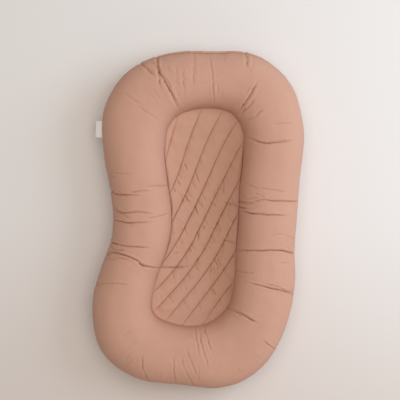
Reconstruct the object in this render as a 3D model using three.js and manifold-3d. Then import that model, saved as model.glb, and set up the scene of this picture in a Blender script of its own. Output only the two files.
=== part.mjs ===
// Infant lounger: a padded roll sewn round a quilted well, as a zipped cotton cover over a filled insert.
// Millimetres, +Z up, +Y towards the head end, origin on the floor under the middle of the outline.

import * as THREE from 'three';
import Module from 'manifold-3d';
import { LoftGeometry } from 'three/addons/geometries/LoftGeometry.js';
import { mergeVertices } from 'three/addons/utils/BufferGeometryUtils.js';

const wasm = await Module();
wasm.setup();

// Driving dimensions of the whole lounger.
const loungerLength = 740;
const loungerWidth = 444;
const loungerHeight = 122;
const bolsterWidth = 131;
const perimeterSeamHeight = 55;
const headSeamLift = 31;
const footSeamLift = 12;
const quiltSeamHeight = 46;
const quiltSag = 23;
const quiltPuff = 5;
const baseLift = 10;
const bottomSink = 4;

// Fabric thicknesses, and the small gaps that sewn and stacked layers keep.
const coverThickness = 1.2;
const casingThickness = 0.8;
const waddingThickness = 1.2;
const liningThickness = 0.8;
const slingThickness = 1;
const layerClearance = 0.4;
const seamClearance = 0.4;
const quiltClearance = 0.7;
const fillClearance = 2.5;
const quiltEdgeClearance = 1;
const slingEdgeClearance = 3.5;

// How many flat steps each curved surface is made with.
const ringSteps = 48;
const topArcSteps = 8;
const undersideArcSteps = 4;
const rampSteps = 3;
const quiltRowSteps = 10;
const quiltColumnSteps = 3;

// The roll's stations, counter-clockwise from the waist on the right: place across and along as shares
// of the half frame, then its width and its crown height as shares of the driving sizes.
const bolsterStationShares = [
  [0.974, 0, 0.978, 1],
  [0.982, 0.216, 0.997, 0.99],
  [0.997, 0.444, 0.986, 0.98],
  [0.987, 0.676, 1.009, 0.98],
  [0.827, 0.868, 1.08, 0.97],
  [0.501, 0.983, 1.047, 0.96],
  [0, 0.999, 0.963, 0.95],
  [-0.464, 0.954, 1.021, 0.96],
  [-0.79, 0.85, 1.119, 0.97],
  [-0.953, 0.684, 1.102, 0.98],
  [-0.949, 0.456, 1.024, 0.98],
  [-0.856, 0.221, 0.976, 0.99],
  [-0.773, 0.004, 0.966, 1],
  [-0.797, -0.206, 0.952, 1],
  [-0.926, -0.43, 0.937, 0.99],
  [-0.986, -0.679, 0.993, 0.98],
  [-0.867, -0.858, 1.064, 0.97],
  [-0.581, -0.959, 1.053, 0.96],
  [-0.064, -0.994, 0.969, 0.95],
  [0.411, -0.971, 1.108, 0.95],
  [0.707, -0.863, 1.096, 0.96],
  [0.919, -0.675, 1.021, 0.97],
  [0.992, -0.428, 1.014, 0.98],
  [0.976, -0.22, 0.993, 0.99],
];
const headStation = 6;
const footStation = 18;
const seamLiftReachShare = 0.09;
const splineTensionShare = 0.5;
const bolsterRoundnessShare = 2.3;

// The stitch lines of the quilt run from low on the left to high on the right. They start steep at the
// head, bend flatter below the waist, and fan apart a little towards both ends.
const stitchSpacing = 33;
const stitchStart = 15;
const stitchUpperSlopeShare = 0.416;
const stitchLowerSlopeShare = 0.877;
const stitchBendStart = -38;
const stitchBendLength = 127;
const stitchFanCentre = 14;
const stitchFanLength = 240;
const stitchFanShare = 0.26;
const puffRoundnessShare = 0.7;
const quiltDishShare = 3;
const quiltEdgeFadeShare = 0.12;
const quiltEndColumnShare = 0.02;

// The zip on the underside: an interlocked chain of moulded teeth, its tapes, stops, slider and pull.
const zipLengthShare = 0.5135;
const toothPitch = 4.2;
const toothHeight = 2.4;
const toothNeckWidth = 1.1;
const toothHeadWidth = 2.3;
const toothTipWidth = 1.3;
const toothReach = 1.4;
const toothShoulderReach = 0.7;
const beadInner = 2;
const beadOuter = 3.6;
const tapeWidth = 12.5;
const tapeThickness = 0.6;
const tapeTail = 12;
const tapeClearance = 0.3;
const sliderLength = 13;
const sliderChainGrip = 8;
const sliderPlateThickness = 1.1;
const sliderFlangeWidth = 1.4;
const sliderNoseFlare = 1;
const sliderClearance = 0.3;
const wedgeWidth = 2.6;
const wedgeTipWidth = 0.8;
const stopLength = 4;
const stopClearance = 0.3;
const slotClearance = 0.8;
const slotTaperLength = 9;

// The bail on the slider, and the pull tab that hangs in it.
const bailLength = 7.6;
const bailWidth = 2.2;
const bailThickness = 0.9;
const bailClearHeight = 1.9;
const pullBarThickness = 1.1;
const pullArmWidth = 1.3;
const pullLength = 22;
const pullTabWidth = 7;
const pullEyeLength = 5.2;
const pullClearance = 0.35;
const pullFloorGap = 0.6;

// The blank care label in the perimeter seam.
const labelPositionShare = 0.3916;
const labelLength = 36;
const labelThickness = 1.1;
const labelReach = 5.5;
const labelDrop = 15;

// One overrun for every cutting tool.
const cutOverrun = 1;

// Lengths that follow from the values above.
const halfFrameWidth = (loungerWidth - bolsterWidth) / 2;
const halfFrameLength = (loungerLength - bolsterWidth) / 2;
const casingInset = coverThickness + layerClearance;
const fillInset = casingInset + casingThickness + fillClearance;
const tapeHeight = baseLift + coverThickness + layerClearance + tapeThickness / 2;
const zipChainLength = zipLengthShare * loungerLength;
const chainTop = zipChainLength / 2;
const chainBottom = -zipChainLength / 2;
const tapeInner = beadOuter + tapeClearance;
const channelHalfWidth = beadOuter + sliderClearance;
const channelHeight = toothHeight + 2 * sliderClearance;
const sliderHeight = channelHeight + 2 * sliderPlateThickness;
const sliderRearHalfWidth = channelHalfWidth + sliderFlangeWidth;
const sliderFrontHalfWidth = sliderRearHalfWidth + sliderNoseFlare;
const sliderRear = chainTop - sliderChainGrip;
const sliderFront = sliderRear + sliderLength;
const slotHalfWidth = sliderFrontHalfWidth + slotClearance;
const slotHalfLength = sliderFront + stopClearance + stopLength + slotClearance;
const bottomStopTop = chainBottom - stopClearance;

function makeMaterial(color, roughness, metalness = 0) {
  return new THREE.MeshStandardMaterial({ color, roughness, metalness });
}

const coverCotton = makeMaterial(0xcd9f8c, 0.85);
const quiltCotton = makeMaterial(0xc4957f, 0.85);
const baseCotton = makeMaterial(0xc79a87, 0.87);
const waddingFibre = makeMaterial(0xf3efe8, 0.95);
const liningCotton = makeMaterial(0xe9e0d6, 0.9);
const casingCotton = makeMaterial(0xefe8dd, 0.9);
const fillFibre = makeMaterial(0xf7f5f0, 0.98);
const tapeWeave = makeMaterial(0xc4927e, 0.8);
const toothPlastic = makeMaterial(0xcaa08c, 0.4);
const sliderMetal = makeMaterial(0xc9a795, 0.35, 0.7);
const labelSatin = makeMaterial(0xf1ece8, 0.6);

const lounger = new THREE.Group();

function addPiece(name, geometry, material) {
  const mesh = new THREE.Mesh(geometry, material);
  mesh.name = name;
  lounger.add(mesh);
  return mesh;
}

function smoothStep(value) {
  const v = Math.min(1, Math.max(0, value));
  return v * v * (3 - 2 * v);
}

// Solids for cutting and joining.
function toSolid(geometry) {
  const bare = geometry.clone();
  bare.deleteAttribute('normal');
  bare.deleteAttribute('uv');
  const merged = mergeVertices(bare);
  const vertProperties = new Float32Array(merged.attributes.position.array);
  const triVerts = new Uint32Array(merged.index.array);
  return new wasm.Manifold(new wasm.Mesh({ numProp: 3, vertProperties, triVerts }));
}

function toGeometry(solid) {
  const { vertProperties, triVerts } = solid.getMesh();
  const geometry = new THREE.BufferGeometry();
  geometry.setAttribute('position', new THREE.BufferAttribute(new Float32Array(vertProperties), 3));
  geometry.setIndex(new THREE.BufferAttribute(new Uint32Array(triVerts), 1));
  geometry.computeVertexNormals();
  return geometry;
}

function box(xLow, xHigh, yLow, yHigh, zLow, zHigh) {
  const geometry = new THREE.BoxGeometry(xHigh - xLow, yHigh - yLow, zHigh - zLow);
  return geometry.translate((xLow + xHigh) / 2, (yLow + yHigh) / 2, (zLow + zHigh) / 2);
}

// A flat outline of [x, y] points given a thickness from zLow to zHigh.
function plate(points, zLow, zHigh) {
  const shape = new THREE.Shape(points.map(([x, y]) => new THREE.Vector2(x, y)));
  const depth = zHigh - zLow;
  return new THREE.ExtrudeGeometry(shape, { depth, bevelEnabled: false }).translate(0, 0, zLow);
}

// The roll: a closed centre line through the stations, with a width and a crown that change along it.
const centreLine = new THREE.CatmullRomCurve3(
  bolsterStationShares.map(
    ([across, along]) => new THREE.Vector3(across * halfFrameWidth, along * halfFrameLength, 0),
  ),
  true,
  'catmullrom',
  splineTensionShare,
);
const girthLine = new THREE.CatmullRomCurve3(
  bolsterStationShares.map(
    ([, , width, crown]) => new THREE.Vector3(width * bolsterWidth, crown * loungerHeight, 0),
  ),
  true,
  'catmullrom',
  splineTensionShare,
);

// The cross-section at place t: a rounded rectangle that would reach a little below the floor.
function bolsterFrame(t) {
  const place = ((t % 1) + 1) % 1;
  const centre = centreLine.getPoint(place);
  const tangent = centreLine.getTangent(place);
  const girth = girthLine.getPoint(place);
  const outward = new THREE.Vector3(tangent.y, -tangent.x, 0).normalize();
  const halfHeight = (girth.y + bottomSink) / 2;
  return { centre, outward, halfWidth: girth.x / 2, halfHeight, middle: girth.y - halfHeight };
}

function fullness(value) {
  return Math.sign(value) * Math.abs(value) ** (2 / bolsterRoundnessShare);
}

// A point on the roll: angle 0 faces outward, a quarter turn is the crown, half a turn faces the well.
function bolsterPoint(t, angle, inset) {
  const { centre, outward, halfWidth, halfHeight, middle } = bolsterFrame(t);
  const reach = (halfWidth - inset) * fullness(Math.cos(angle));
  const height = middle + (halfHeight - inset) * fullness(Math.sin(angle));
  const point = centre.clone().addScaledVector(outward, reach);
  point.z = Math.max(height, inset);
  return point;
}

function angleAtHeight(t, height, inset = 0) {
  const { halfHeight, middle } = bolsterFrame(t);
  const rise = (height - middle) / (halfHeight - inset);
  return Math.asin(Math.sign(rise) * Math.abs(rise) ** (bolsterRoundnessShare / 2));
}

function spread(from, to, steps) {
  return Array.from({ length: steps + 1 }, (_, step) => from + ((to - from) * step) / steps);
}

// The perimeter seam runs level along both sides and rises over the rounded ends.
function seamHeight(t) {
  const nearness = (station) => {
    const apart = t - station / bolsterStationShares.length;
    return Math.exp(-(((apart - Math.round(apart)) / seamLiftReachShare) ** 2));
  };
  return perimeterSeamHeight + headSeamLift * nearness(headStation) + footSeamLift * nearness(footStation);
}

// Nested layers share these angles, so that their flat steps lie parallel and never cross.
function topAngles(t) {
  const from = angleAtHeight(t, seamHeight(t) + seamClearance / 2);
  const to = Math.PI - angleAtHeight(t, quiltSeamHeight + seamClearance);
  return spread(from, to, topArcSteps);
}

function undersideAngles(t) {
  const from = angleAtHeight(t, seamHeight(t) - seamClearance / 2);
  return spread(from, angleAtHeight(t, 0), undersideArcSteps);
}

// From the inner edge of the flat up the wall that faces the well, to a sewn edge at this inset.
function innerAngles(t, height, inset) {
  const to = Math.PI - angleAtHeight(t, height, inset);
  return spread(Math.PI - angleAtHeight(t, 0), to, undersideArcSteps / 2);
}

// The insert's inner layers keep every second angle of the cover's.
function everySecond(angles) {
  return angles.filter((_, index) => index % 2 === 0);
}

function facePoints(t, angles, inset) {
  return angles.map((angle) => bolsterPoint(t, angle, inset));
}

// A closed ring lofted through one section at every step round the lounger.
function ringLoft(sectionAt) {
  const sections = [];
  for (let step = 0; step < ringSteps; step += 1) {
    sections.push(sectionAt(step / ringSteps));
  }
  sections.push(sections[0]);
  return new LoftGeometry(sections, { closed: true });
}

// A skin through a list of angles: its inner face, then its outer face on the way back.
function skinSection(t, angles, outerInset, thickness) {
  const inner = facePoints(t, angles, outerInset + thickness);
  return [...inner, ...facePoints(t, angles, outerInset).reverse()];
}

// The cover's top skin, from the perimeter seam over the crown to the quilt seam.
const coverTop = ringLoft((t) => skinSection(t, topAngles(t), 0, coverThickness));
addPiece('cover_bolster_top', coverTop, coverCotton);

// The quilt's place: the well's outline, its dish, and its stitched channels.
const quiltLiningTop = -coverThickness - quiltClearance - waddingThickness - quiltClearance;
const quiltStack = -quiltLiningTop + liningThickness;
const slingTop = quiltSeamHeight - quiltStack - quiltClearance;

function wellOutline(height, inset) {
  const points = [];
  for (let step = 0; step < ringSteps; step += 1) {
    const t = step / ringSteps;
    const point = bolsterPoint(t, Math.PI - angleAtHeight(t, height, inset), inset);
    points.push(new THREE.Vector2(point.x, point.y));
  }
  return points;
}

const quiltOutline = wellOutline(quiltSeamHeight, casingInset - quiltEdgeClearance);
const slingOutline = wellOutline(slingTop, fillInset - slingEdgeClearance);
const wellCentre = quiltOutline
  .reduce((sum, point) => sum.add(point), new THREE.Vector2())
  .divideScalar(quiltOutline.length);

// How far out a place lies in the well, from 0 at its centre to 1 at the quilt seam.
function outwardShare(x, y) {
  const ray = new THREE.Vector2(x, y).sub(wellCentre);
  if (ray.length() < Number.EPSILON) return 0;
  let share = 0;
  quiltOutline.forEach((start, index) => {
    const end = quiltOutline[(index + 1) % quiltOutline.length];
    const edge = end.clone().sub(start);
    const from = start.clone().sub(wellCentre);
    const cross = ray.cross(edge);
    const along = from.cross(edge) / cross;
    const across = from.cross(ray) / cross;
    if (along > 0 && across >= 0 && across <= 1) share = Math.max(share, 1 / along);
  });
  return share;
}

function dishHeight(x, y) {
  const share = Math.min(1, outwardShare(x, y));
  return quiltSeamHeight - quiltSag * (1 - share ** quiltDishShare);
}

function stitchFan(y) {
  return stitchSpacing * (1 + stitchFanShare * ((y - stitchFanCentre) / stitchFanLength) ** 2);
}

// Where a stitch line has got to at y, against where it crosses y = 0.
function stitchOffset(y) {
  const below = Math.max(0, stitchBendStart - y);
  const curved = Math.min(below, stitchBendLength);
  const bend = (curved * (below - curved / 2)) / stitchBendLength;
  return stitchUpperSlopeShare * y - (stitchLowerSlopeShare - stitchUpperSlopeShare) * bend;
}

function channelAt(x, y) {
  return (x - stitchStart - stitchOffset(y)) / stitchFan(y);
}

function channelX(channel, y) {
  return stitchStart + channel * stitchFan(y) + stitchOffset(y);
}

function puffHeight(channel, x, y) {
  const crown = Math.abs(Math.sin(Math.PI * channel)) ** puffRoundnessShare;
  return quiltPuff * crown * smoothStep((1 - outwardShare(x, y)) / quiltEdgeFadeShare);
}

// The two places where a stitch line of this channel number meets the outline, low end first.
function outlineCrossings(outline, channel) {
  const crossings = [];
  outline.forEach((start, index) => {
    const end = outline[(index + 1) % outline.length];
    const startSide = channelAt(start.x, start.y) - channel;
    const endSide = channelAt(end.x, end.y) - channel;
    if (startSide < 0 !== endSide < 0) {
      crossings.push(start.clone().lerp(end, startSide / (startSide - endSide)));
    }
  });
  return crossings.sort((a, b) => a.y - b.y);
}

// A grid over the outline whose columns follow the stitch lines: steps columns in each channel.
function channelGrid(outline, steps, rows) {
  const numbers = outline.map((point) => channelAt(point.x, point.y));
  const first = Math.min(...numbers) + quiltEndColumnShare;
  const last = Math.max(...numbers) - quiltEndColumnShare;
  const columns = [first];
  for (let count = Math.ceil(first * steps); count <= last * steps; count += 1) {
    const channel = count / steps;
    if (channel - first > 1 / (4 * steps) && last - channel > 1 / (4 * steps)) columns.push(channel);
  }
  columns.push(last);
  return columns.map((channel) => {
    const [low, high] = outlineCrossings(outline, channel);
    const points = [];
    for (let row = 0; row <= rows; row += 1) {
      const y = low.y + ((high.y - low.y) * row) / rows;
      const drift = low.x + ((high.x - low.x) * row) / rows;
      const inside = row > 0 && row < rows;
      points.push({ x: inside ? channelX(channel, y) : drift, y, channel });
    }
    return points;
  });
}

// A closed sheet over such a grid, between two height functions.
function gridSheet(grid, topHeight, bottomHeight) {
  const columns = grid.length;
  const rows = grid[0].length;
  const position = [];
  for (const height of [topHeight, bottomHeight]) {
    for (const column of grid) {
      for (const point of column) position.push(point.x, point.y, height(point));
    }
  }
  const top = (column, row) => column * rows + row;
  const bottom = (column, row) => columns * rows + column * rows + row;
  const index = [];
  const quad = (a, b, c, d) => index.push(a, b, c, a, c, d);
  for (let column = 0; column < columns - 1; column += 1) {
    const next = column + 1;
    for (let row = 0; row < rows - 1; row += 1) {
      quad(top(column, row), top(next, row), top(next, row + 1), top(column, row + 1));
      quad(bottom(column, row), bottom(column, row + 1), bottom(next, row + 1), bottom(next, row));
    }
    quad(top(column, 0), bottom(column, 0), bottom(next, 0), top(next, 0));
    quad(top(next, rows - 1), bottom(next, rows - 1), bottom(column, rows - 1), top(column, rows - 1));
  }
  for (let row = 0; row < rows - 1; row += 1) {
    quad(top(0, row + 1), bottom(0, row + 1), bottom(0, row), top(0, row));
    const last = columns - 1;
    quad(top(last, row), bottom(last, row), bottom(last, row + 1), top(last, row + 1));
  }
  const geometry = new THREE.BufferGeometry();
  geometry.setAttribute('position', new THREE.Float32BufferAttribute(position, 3));
  geometry.setIndex(index);
  geometry.computeVertexNormals();
  return geometry;
}

// The quilt's face with its puffed channels, the wadding under it, and the lining that it is sewn to.
const quiltGrid = channelGrid(quiltOutline, quiltColumnSteps, quiltRowSteps);
const faceTop = ({ x, y, channel }) => dishHeight(x, y) + puffHeight(channel, x, y);
const waddingTop = (point) => faceTop(point) - coverThickness - quiltClearance;
const dishBelow = (depth) => ({ x, y }) => dishHeight(x, y) - depth;
addPiece('quilt_face', gridSheet(quiltGrid, faceTop, (p) => faceTop(p) - coverThickness), quiltCotton);
const waddingBottom = dishBelow(coverThickness + quiltClearance + waddingThickness);
addPiece('quilt_wadding', gridSheet(quiltGrid, waddingTop, waddingBottom), waddingFibre);
const lining = gridSheet(quiltGrid, dishBelow(-quiltLiningTop), dishBelow(quiltStack));
addPiece('quilt_lining', lining, liningCotton);

// The cover's underside: two panels that run from the perimeter seam under the roll, and rise a little
// to the zip in the middle.
function slotEdge(y) {
  const closing = (slotHalfLength + slotTaperLength - Math.abs(y)) / slotTaperLength;
  return slotHalfWidth * smoothStep(closing);
}

function baseSection(t, side, atEnd) {
  const flat = angleAtHeight(t, 0);
  const { centre } = bolsterFrame(t);
  const y = (centre.y / halfFrameLength) * (slotHalfLength + slotTaperLength);
  const edgeX = atEnd ? 0 : side * Math.max(slotEdge(y), seamClearance / 2);
  const face = (inset) => {
    const points = facePoints(t, undersideAngles(t), inset);
    const inner = bolsterPoint(t, Math.PI - flat, inset);
    points.push(inner);
    for (let step = 1; step <= rampSteps; step += 1) {
      const share = step / rampSteps;
      const rise = baseLift * smoothStep(share);
      const x = THREE.MathUtils.lerp(inner.x, edgeX, share);
      points.push(new THREE.Vector3(x, THREE.MathUtils.lerp(inner.y, y, share), inset + rise));
    }
    return points;
  };
  const section = [...face(0), ...face(coverThickness).reverse()];
  const shift = atEnd ? (side * seamClearance) / 2 : 0;
  return section.map((point) => point.setX(point.x + shift));
}

function basePanel(side, firstStep, lastStep) {
  const sections = [];
  for (let step = firstStep; step <= lastStep; step += 1) {
    sections.push(baseSection(step / ringSteps, side, step === firstStep || step === lastStep));
  }
  return new LoftGeometry(sections, { closed: true, capStart: true, capEnd: true });
}

const stepsPerStation = ringSteps / bolsterStationShares.length;
const headStep = headStation * stepsPerStation;
const footStep = footStation * stepsPerStation;
addPiece('cover_base_left', basePanel(-1, headStep, footStep), baseCotton);
addPiece('cover_base_right', basePanel(1, footStep, headStep + ringSteps), baseCotton);

// The insert: fibre fill in a sewn casing, whose two halves hold a sling across the well.
const casingTop = ringLoft((t) => {
  const sewnEdge = Math.PI - angleAtHeight(t, slingTop + seamClearance, casingInset);
  return skinSection(t, [...everySecond(topAngles(t)), sewnEdge], casingInset, casingThickness);
});
addPiece('insert_casing_top', casingTop, casingCotton);

const casingBottom = ringLoft((t) => {
  const sewnHeight = slingTop - slingThickness - seamClearance;
  const inner = innerAngles(t, sewnHeight, casingInset + casingThickness);
  const angles = [...everySecond(undersideAngles(t)), ...inner];
  return skinSection(t, angles, casingInset, casingThickness).reverse();
});
addPiece('insert_casing_bottom', casingBottom, casingCotton);

const fillRing = ringLoft((t) => {
  const [, ...below] = everySecond(undersideAngles(t));
  const above = everySecond(topAngles(t));
  const inner = innerAngles(t, slingTop - slingThickness, fillInset);
  return facePoints(t, [...below.reverse(), ...above, ...inner.reverse()], fillInset).reverse();
});
addPiece('insert_fill_ring', fillRing, fillFibre);

const slingGrid = channelGrid(slingOutline, quiltColumnSteps, quiltRowSteps);
const slingTopDepth = quiltStack + quiltClearance;
const sling = gridSheet(slingGrid, dishBelow(slingTopDepth), dishBelow(slingTopDepth + slingThickness));
addPiece('insert_sling', sling, casingCotton);

// One half of the zip's chain: a bead along the tape with a comb of dovetailed teeth on it.
function toothComb(side, firstTooth) {
  const points = [];
  points.push([side * beadOuter, chainBottom], [side * beadInner, chainBottom]);
  for (let y = firstTooth; y + toothHeadWidth / 2 < chainTop; y += toothPitch) {
    const widths = [
      [side * beadInner, toothNeckWidth],
      [-side * toothShoulderReach, toothHeadWidth],
      [-side * toothReach, toothTipWidth],
    ];
    widths.forEach(([x, width]) => points.push([x, y - width / 2]));
    widths.reverse().forEach(([x, width]) => points.push([x, y + width / 2]));
  }
  points.push([side * beadInner, chainTop], [side * beadOuter, chainTop]);
  return plate(points, tapeHeight - toothHeight / 2, tapeHeight + toothHeight / 2);
}

addPiece('zip_teeth_left', toothComb(-1, chainBottom + toothPitch / 2), toothPlastic);
addPiece('zip_teeth_right', toothComb(1, chainBottom + toothPitch), toothPlastic);

function zipTape(side) {
  const edges = [side * tapeInner, side * (tapeInner + tapeWidth)].sort((a, b) => a - b);
  const end = slotHalfLength + tapeTail;
  return box(...edges, -end, end, tapeHeight - tapeThickness / 2, tapeHeight + tapeThickness / 2);
}

addPiece('zip_tape_left', zipTape(-1), tapeWeave);
addPiece('zip_tape_right', zipTape(1), tapeWeave);

// Stops: one crimped on each tape edge ahead of the slider, and one across both at the far end.
function topStop(side) {
  const edges = [side * beadInner, side * beadOuter].sort((a, b) => a - b);
  const start = sliderFront + stopClearance;
  const half = toothHeight / 2;
  return box(...edges, start, start + stopLength, tapeHeight - half, tapeHeight + half);
}

addPiece('zip_top_stop_left', topStop(-1), toothPlastic);
addPiece('zip_top_stop_right', topStop(1), toothPlastic);
const bottomStop = box(
  -beadOuter,
  beadOuter,
  bottomStopTop - stopLength,
  bottomStopTop,
  tapeHeight - toothHeight / 2,
  tapeHeight + toothHeight / 2,
);
addPiece('zip_bottom_stop', bottomStop, toothPlastic);

// The slider: two plates joined by a wedge at the nose, with flanges that leave a slot for the tapes,
// and a bail on its outer face, which looks down.
function slider() {
  const rear = sliderRear;
  const front = sliderFront;
  const waist = rear + sliderLength / 2;
  const outline = [
    [-sliderRearHalfWidth, rear],
    [sliderRearHalfWidth, rear],
    [sliderRearHalfWidth, waist],
    [sliderFrontHalfWidth, front - sliderNoseFlare],
    [sliderFrontHalfWidth - sliderNoseFlare, front],
    [-sliderFrontHalfWidth + sliderNoseFlare, front],
    [-sliderFrontHalfWidth, front - sliderNoseFlare],
    [-sliderRearHalfWidth, waist],
  ];
  const low = tapeHeight - sliderHeight / 2;
  const high = tapeHeight + sliderHeight / 2;
  const channelFront = channelHalfWidth + sliderNoseFlare;
  const wedgeStart = chainTop + sliderClearance;
  const channel = [
    [-channelHalfWidth, rear - cutOverrun],
    [channelHalfWidth, rear - cutOverrun],
    [channelHalfWidth, waist],
    [channelFront, front],
    [channelFront, front + cutOverrun],
    [-channelFront, front + cutOverrun],
    [-channelFront, front],
    [-channelHalfWidth, waist],
  ];
  const wedge = [
    [-wedgeTipWidth / 2, wedgeStart],
    [wedgeTipWidth / 2, wedgeStart],
    [wedgeWidth / 2, wedgeStart + wedgeWidth],
    [wedgeWidth / 2, front],
    [-wedgeWidth / 2, front],
    [-wedgeWidth / 2, wedgeStart + wedgeWidth],
  ];
  const channelLow = tapeHeight - channelHeight / 2;
  const channelHigh = tapeHeight + channelHeight / 2;
  const tapeSlotHalf = tapeThickness / 2 + tapeClearance;
  const reach = sliderFrontHalfWidth + cutOverrun;
  const tapeSlot = box(
    -reach,
    reach,
    rear - cutOverrun,
    front + cutOverrun,
    tapeHeight - tapeSlotHalf,
    tapeHeight + tapeSlotHalf,
  );
  const body = toSolid(plate(outline, low, high))
    .subtract(toSolid(plate(channel, channelLow, channelHigh)))
    .subtract(toSolid(tapeSlot))
    .add(toSolid(plate(wedge, low + sliderPlateThickness / 2, high - sliderPlateThickness / 2)));
  const bailY = rear + sliderLength / 2;
  const bailHigh = low + sliderPlateThickness / 2;
  const bailLow = low - bailClearHeight - bailThickness;
  const [bailRear, bailFront] = [bailY - bailLength / 2, bailY + bailLength / 2];
  const loop = box(-bailWidth / 2, bailWidth / 2, bailRear, bailFront, bailLow, bailHigh);
  const eyeLow = bailLow + bailThickness;
  const eye = box(-bailWidth, bailWidth, bailRear + bailThickness, bailFront - bailThickness, eyeLow, low);
  return toGeometry(body.add(toSolid(loop).subtract(toSolid(eye))));
}

addPiece('zip_slider', slider(), sliderMetal);

// The pull: a bar through the bail, two arms beside it and a tab, hanging until its tip nears the floor.
const pullPivotY = sliderRear + sliderLength / 2;
const pullPivotZ = tapeHeight - sliderHeight / 2 - bailClearHeight / 2;
const pullTilt = Math.asin((pullPivotZ - pullFloorGap - pullBarThickness) / pullLength);

function pull() {
  const half = pullBarThickness / 2;
  const armInner = bailWidth / 2 + pullClearance;
  const armOuter = armInner + pullArmWidth;
  const blank = [
    [-armOuter, half],
    [-armOuter, -pullEyeLength],
    [-pullTabWidth / 2, -pullEyeLength - pullArmWidth],
    [-pullTabWidth / 2, -pullLength + pullArmWidth],
    [-pullTabWidth / 2 + pullArmWidth, -pullLength],
    [pullTabWidth / 2 - pullArmWidth, -pullLength],
    [pullTabWidth / 2, -pullLength + pullArmWidth],
    [pullTabWidth / 2, -pullEyeLength - pullArmWidth],
    [armOuter, -pullEyeLength],
    [armOuter, half],
  ];
  const eye = box(-armInner, armInner, -pullEyeLength, -half, -pullBarThickness, pullBarThickness);
  const solid = toSolid(plate(blank, -half, half)).subtract(toSolid(eye));
  return toGeometry(solid).rotateX(pullTilt).translate(0, pullPivotY, pullPivotZ);
}

addPiece('zip_pull', pull(), sliderMetal);

// The blank care label, sewn into the perimeter seam on the left: it stands out, then hangs. It lies
// against the flat step of the skin that holds its place along the seam.
function careLabel() {
  const half = labelThickness / 2;
  const tip = seamClearance + labelReach;
  const fold = seamClearance + labelReach / 2;
  const profile = [
    [seamClearance, -half],
    [fold, -half - labelThickness],
    [tip - labelThickness, -labelDrop],
    [tip, -labelDrop],
    [fold + labelThickness, half - labelThickness],
    [seamClearance, half],
  ];
  const shape = new THREE.Shape(profile.map(([x, y]) => new THREE.Vector2(x, y)));
  const geometry = new THREE.ExtrudeGeometry(shape, { depth: labelLength, bevelEnabled: false });
  geometry.translate(0, 0, -labelLength / 2).rotateX(Math.PI / 2);
  const place = labelPositionShare * ringSteps;
  const [start, end] = [Math.floor(place), Math.floor(place) + 1].map((step) => {
    const t = step / ringSteps;
    return bolsterPoint(t, angleAtHeight(t, seamHeight(t)), 0);
  });
  geometry.rotateZ(Math.atan2(start.x - end.x, end.y - start.y));
  return geometry.translate(...start.lerp(end, place % 1));
}

addPiece('care_label', careLabel(), labelSatin);

export default lounger;
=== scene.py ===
"""The looks of a padded infant lounger: a stuffed roll round a quilted well, in a zipped cover."""
import math

import bpy
import numpy as np
from mathutils import Matrix, Vector


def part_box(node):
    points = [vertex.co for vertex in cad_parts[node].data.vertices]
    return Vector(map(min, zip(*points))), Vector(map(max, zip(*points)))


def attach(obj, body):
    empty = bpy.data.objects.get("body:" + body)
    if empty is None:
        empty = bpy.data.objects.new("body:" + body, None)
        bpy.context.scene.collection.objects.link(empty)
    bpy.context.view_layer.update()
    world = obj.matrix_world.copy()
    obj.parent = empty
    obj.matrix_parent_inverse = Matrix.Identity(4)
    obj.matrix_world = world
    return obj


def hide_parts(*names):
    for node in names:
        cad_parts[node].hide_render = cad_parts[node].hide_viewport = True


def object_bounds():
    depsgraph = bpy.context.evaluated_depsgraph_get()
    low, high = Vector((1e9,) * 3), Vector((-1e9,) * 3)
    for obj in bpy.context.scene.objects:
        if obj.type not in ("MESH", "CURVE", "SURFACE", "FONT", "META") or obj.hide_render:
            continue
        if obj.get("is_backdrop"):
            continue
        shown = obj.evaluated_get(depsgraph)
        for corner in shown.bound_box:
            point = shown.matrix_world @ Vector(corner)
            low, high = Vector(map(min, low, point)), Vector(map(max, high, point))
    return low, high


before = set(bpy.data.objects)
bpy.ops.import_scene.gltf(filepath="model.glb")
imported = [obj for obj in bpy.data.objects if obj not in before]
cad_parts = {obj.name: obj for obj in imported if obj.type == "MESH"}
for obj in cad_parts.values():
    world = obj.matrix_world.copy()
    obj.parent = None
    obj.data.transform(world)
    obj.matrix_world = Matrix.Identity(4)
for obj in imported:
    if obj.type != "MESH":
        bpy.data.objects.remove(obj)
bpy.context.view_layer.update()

# THE COVER'S TOP. One ring of plain-woven cotton lies over a stuffed roll that closes on itself round
# the well. It runs from the perimeter seam over the crown to the quilt seam. Both of its edges are
# turned under and sewn, which gathers the cloth beside them, and the stuffing leaves folds across it.
LOUNGER_LENGTH = 0.740
LOUNGER_WIDTH = 0.444
LOUNGER_HEIGHT = 0.122
ROLL_WIDTH = 0.131
ROLL_ROUNDNESS_SHARE = 2.3
BOTTOM_SINK = 0.004
HALF_FRAME_LENGTH = (LOUNGER_LENGTH - ROLL_WIDTH) / 2
HALF_FRAME_WIDTH = (LOUNGER_WIDTH - ROLL_WIDTH) / 2

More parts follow.
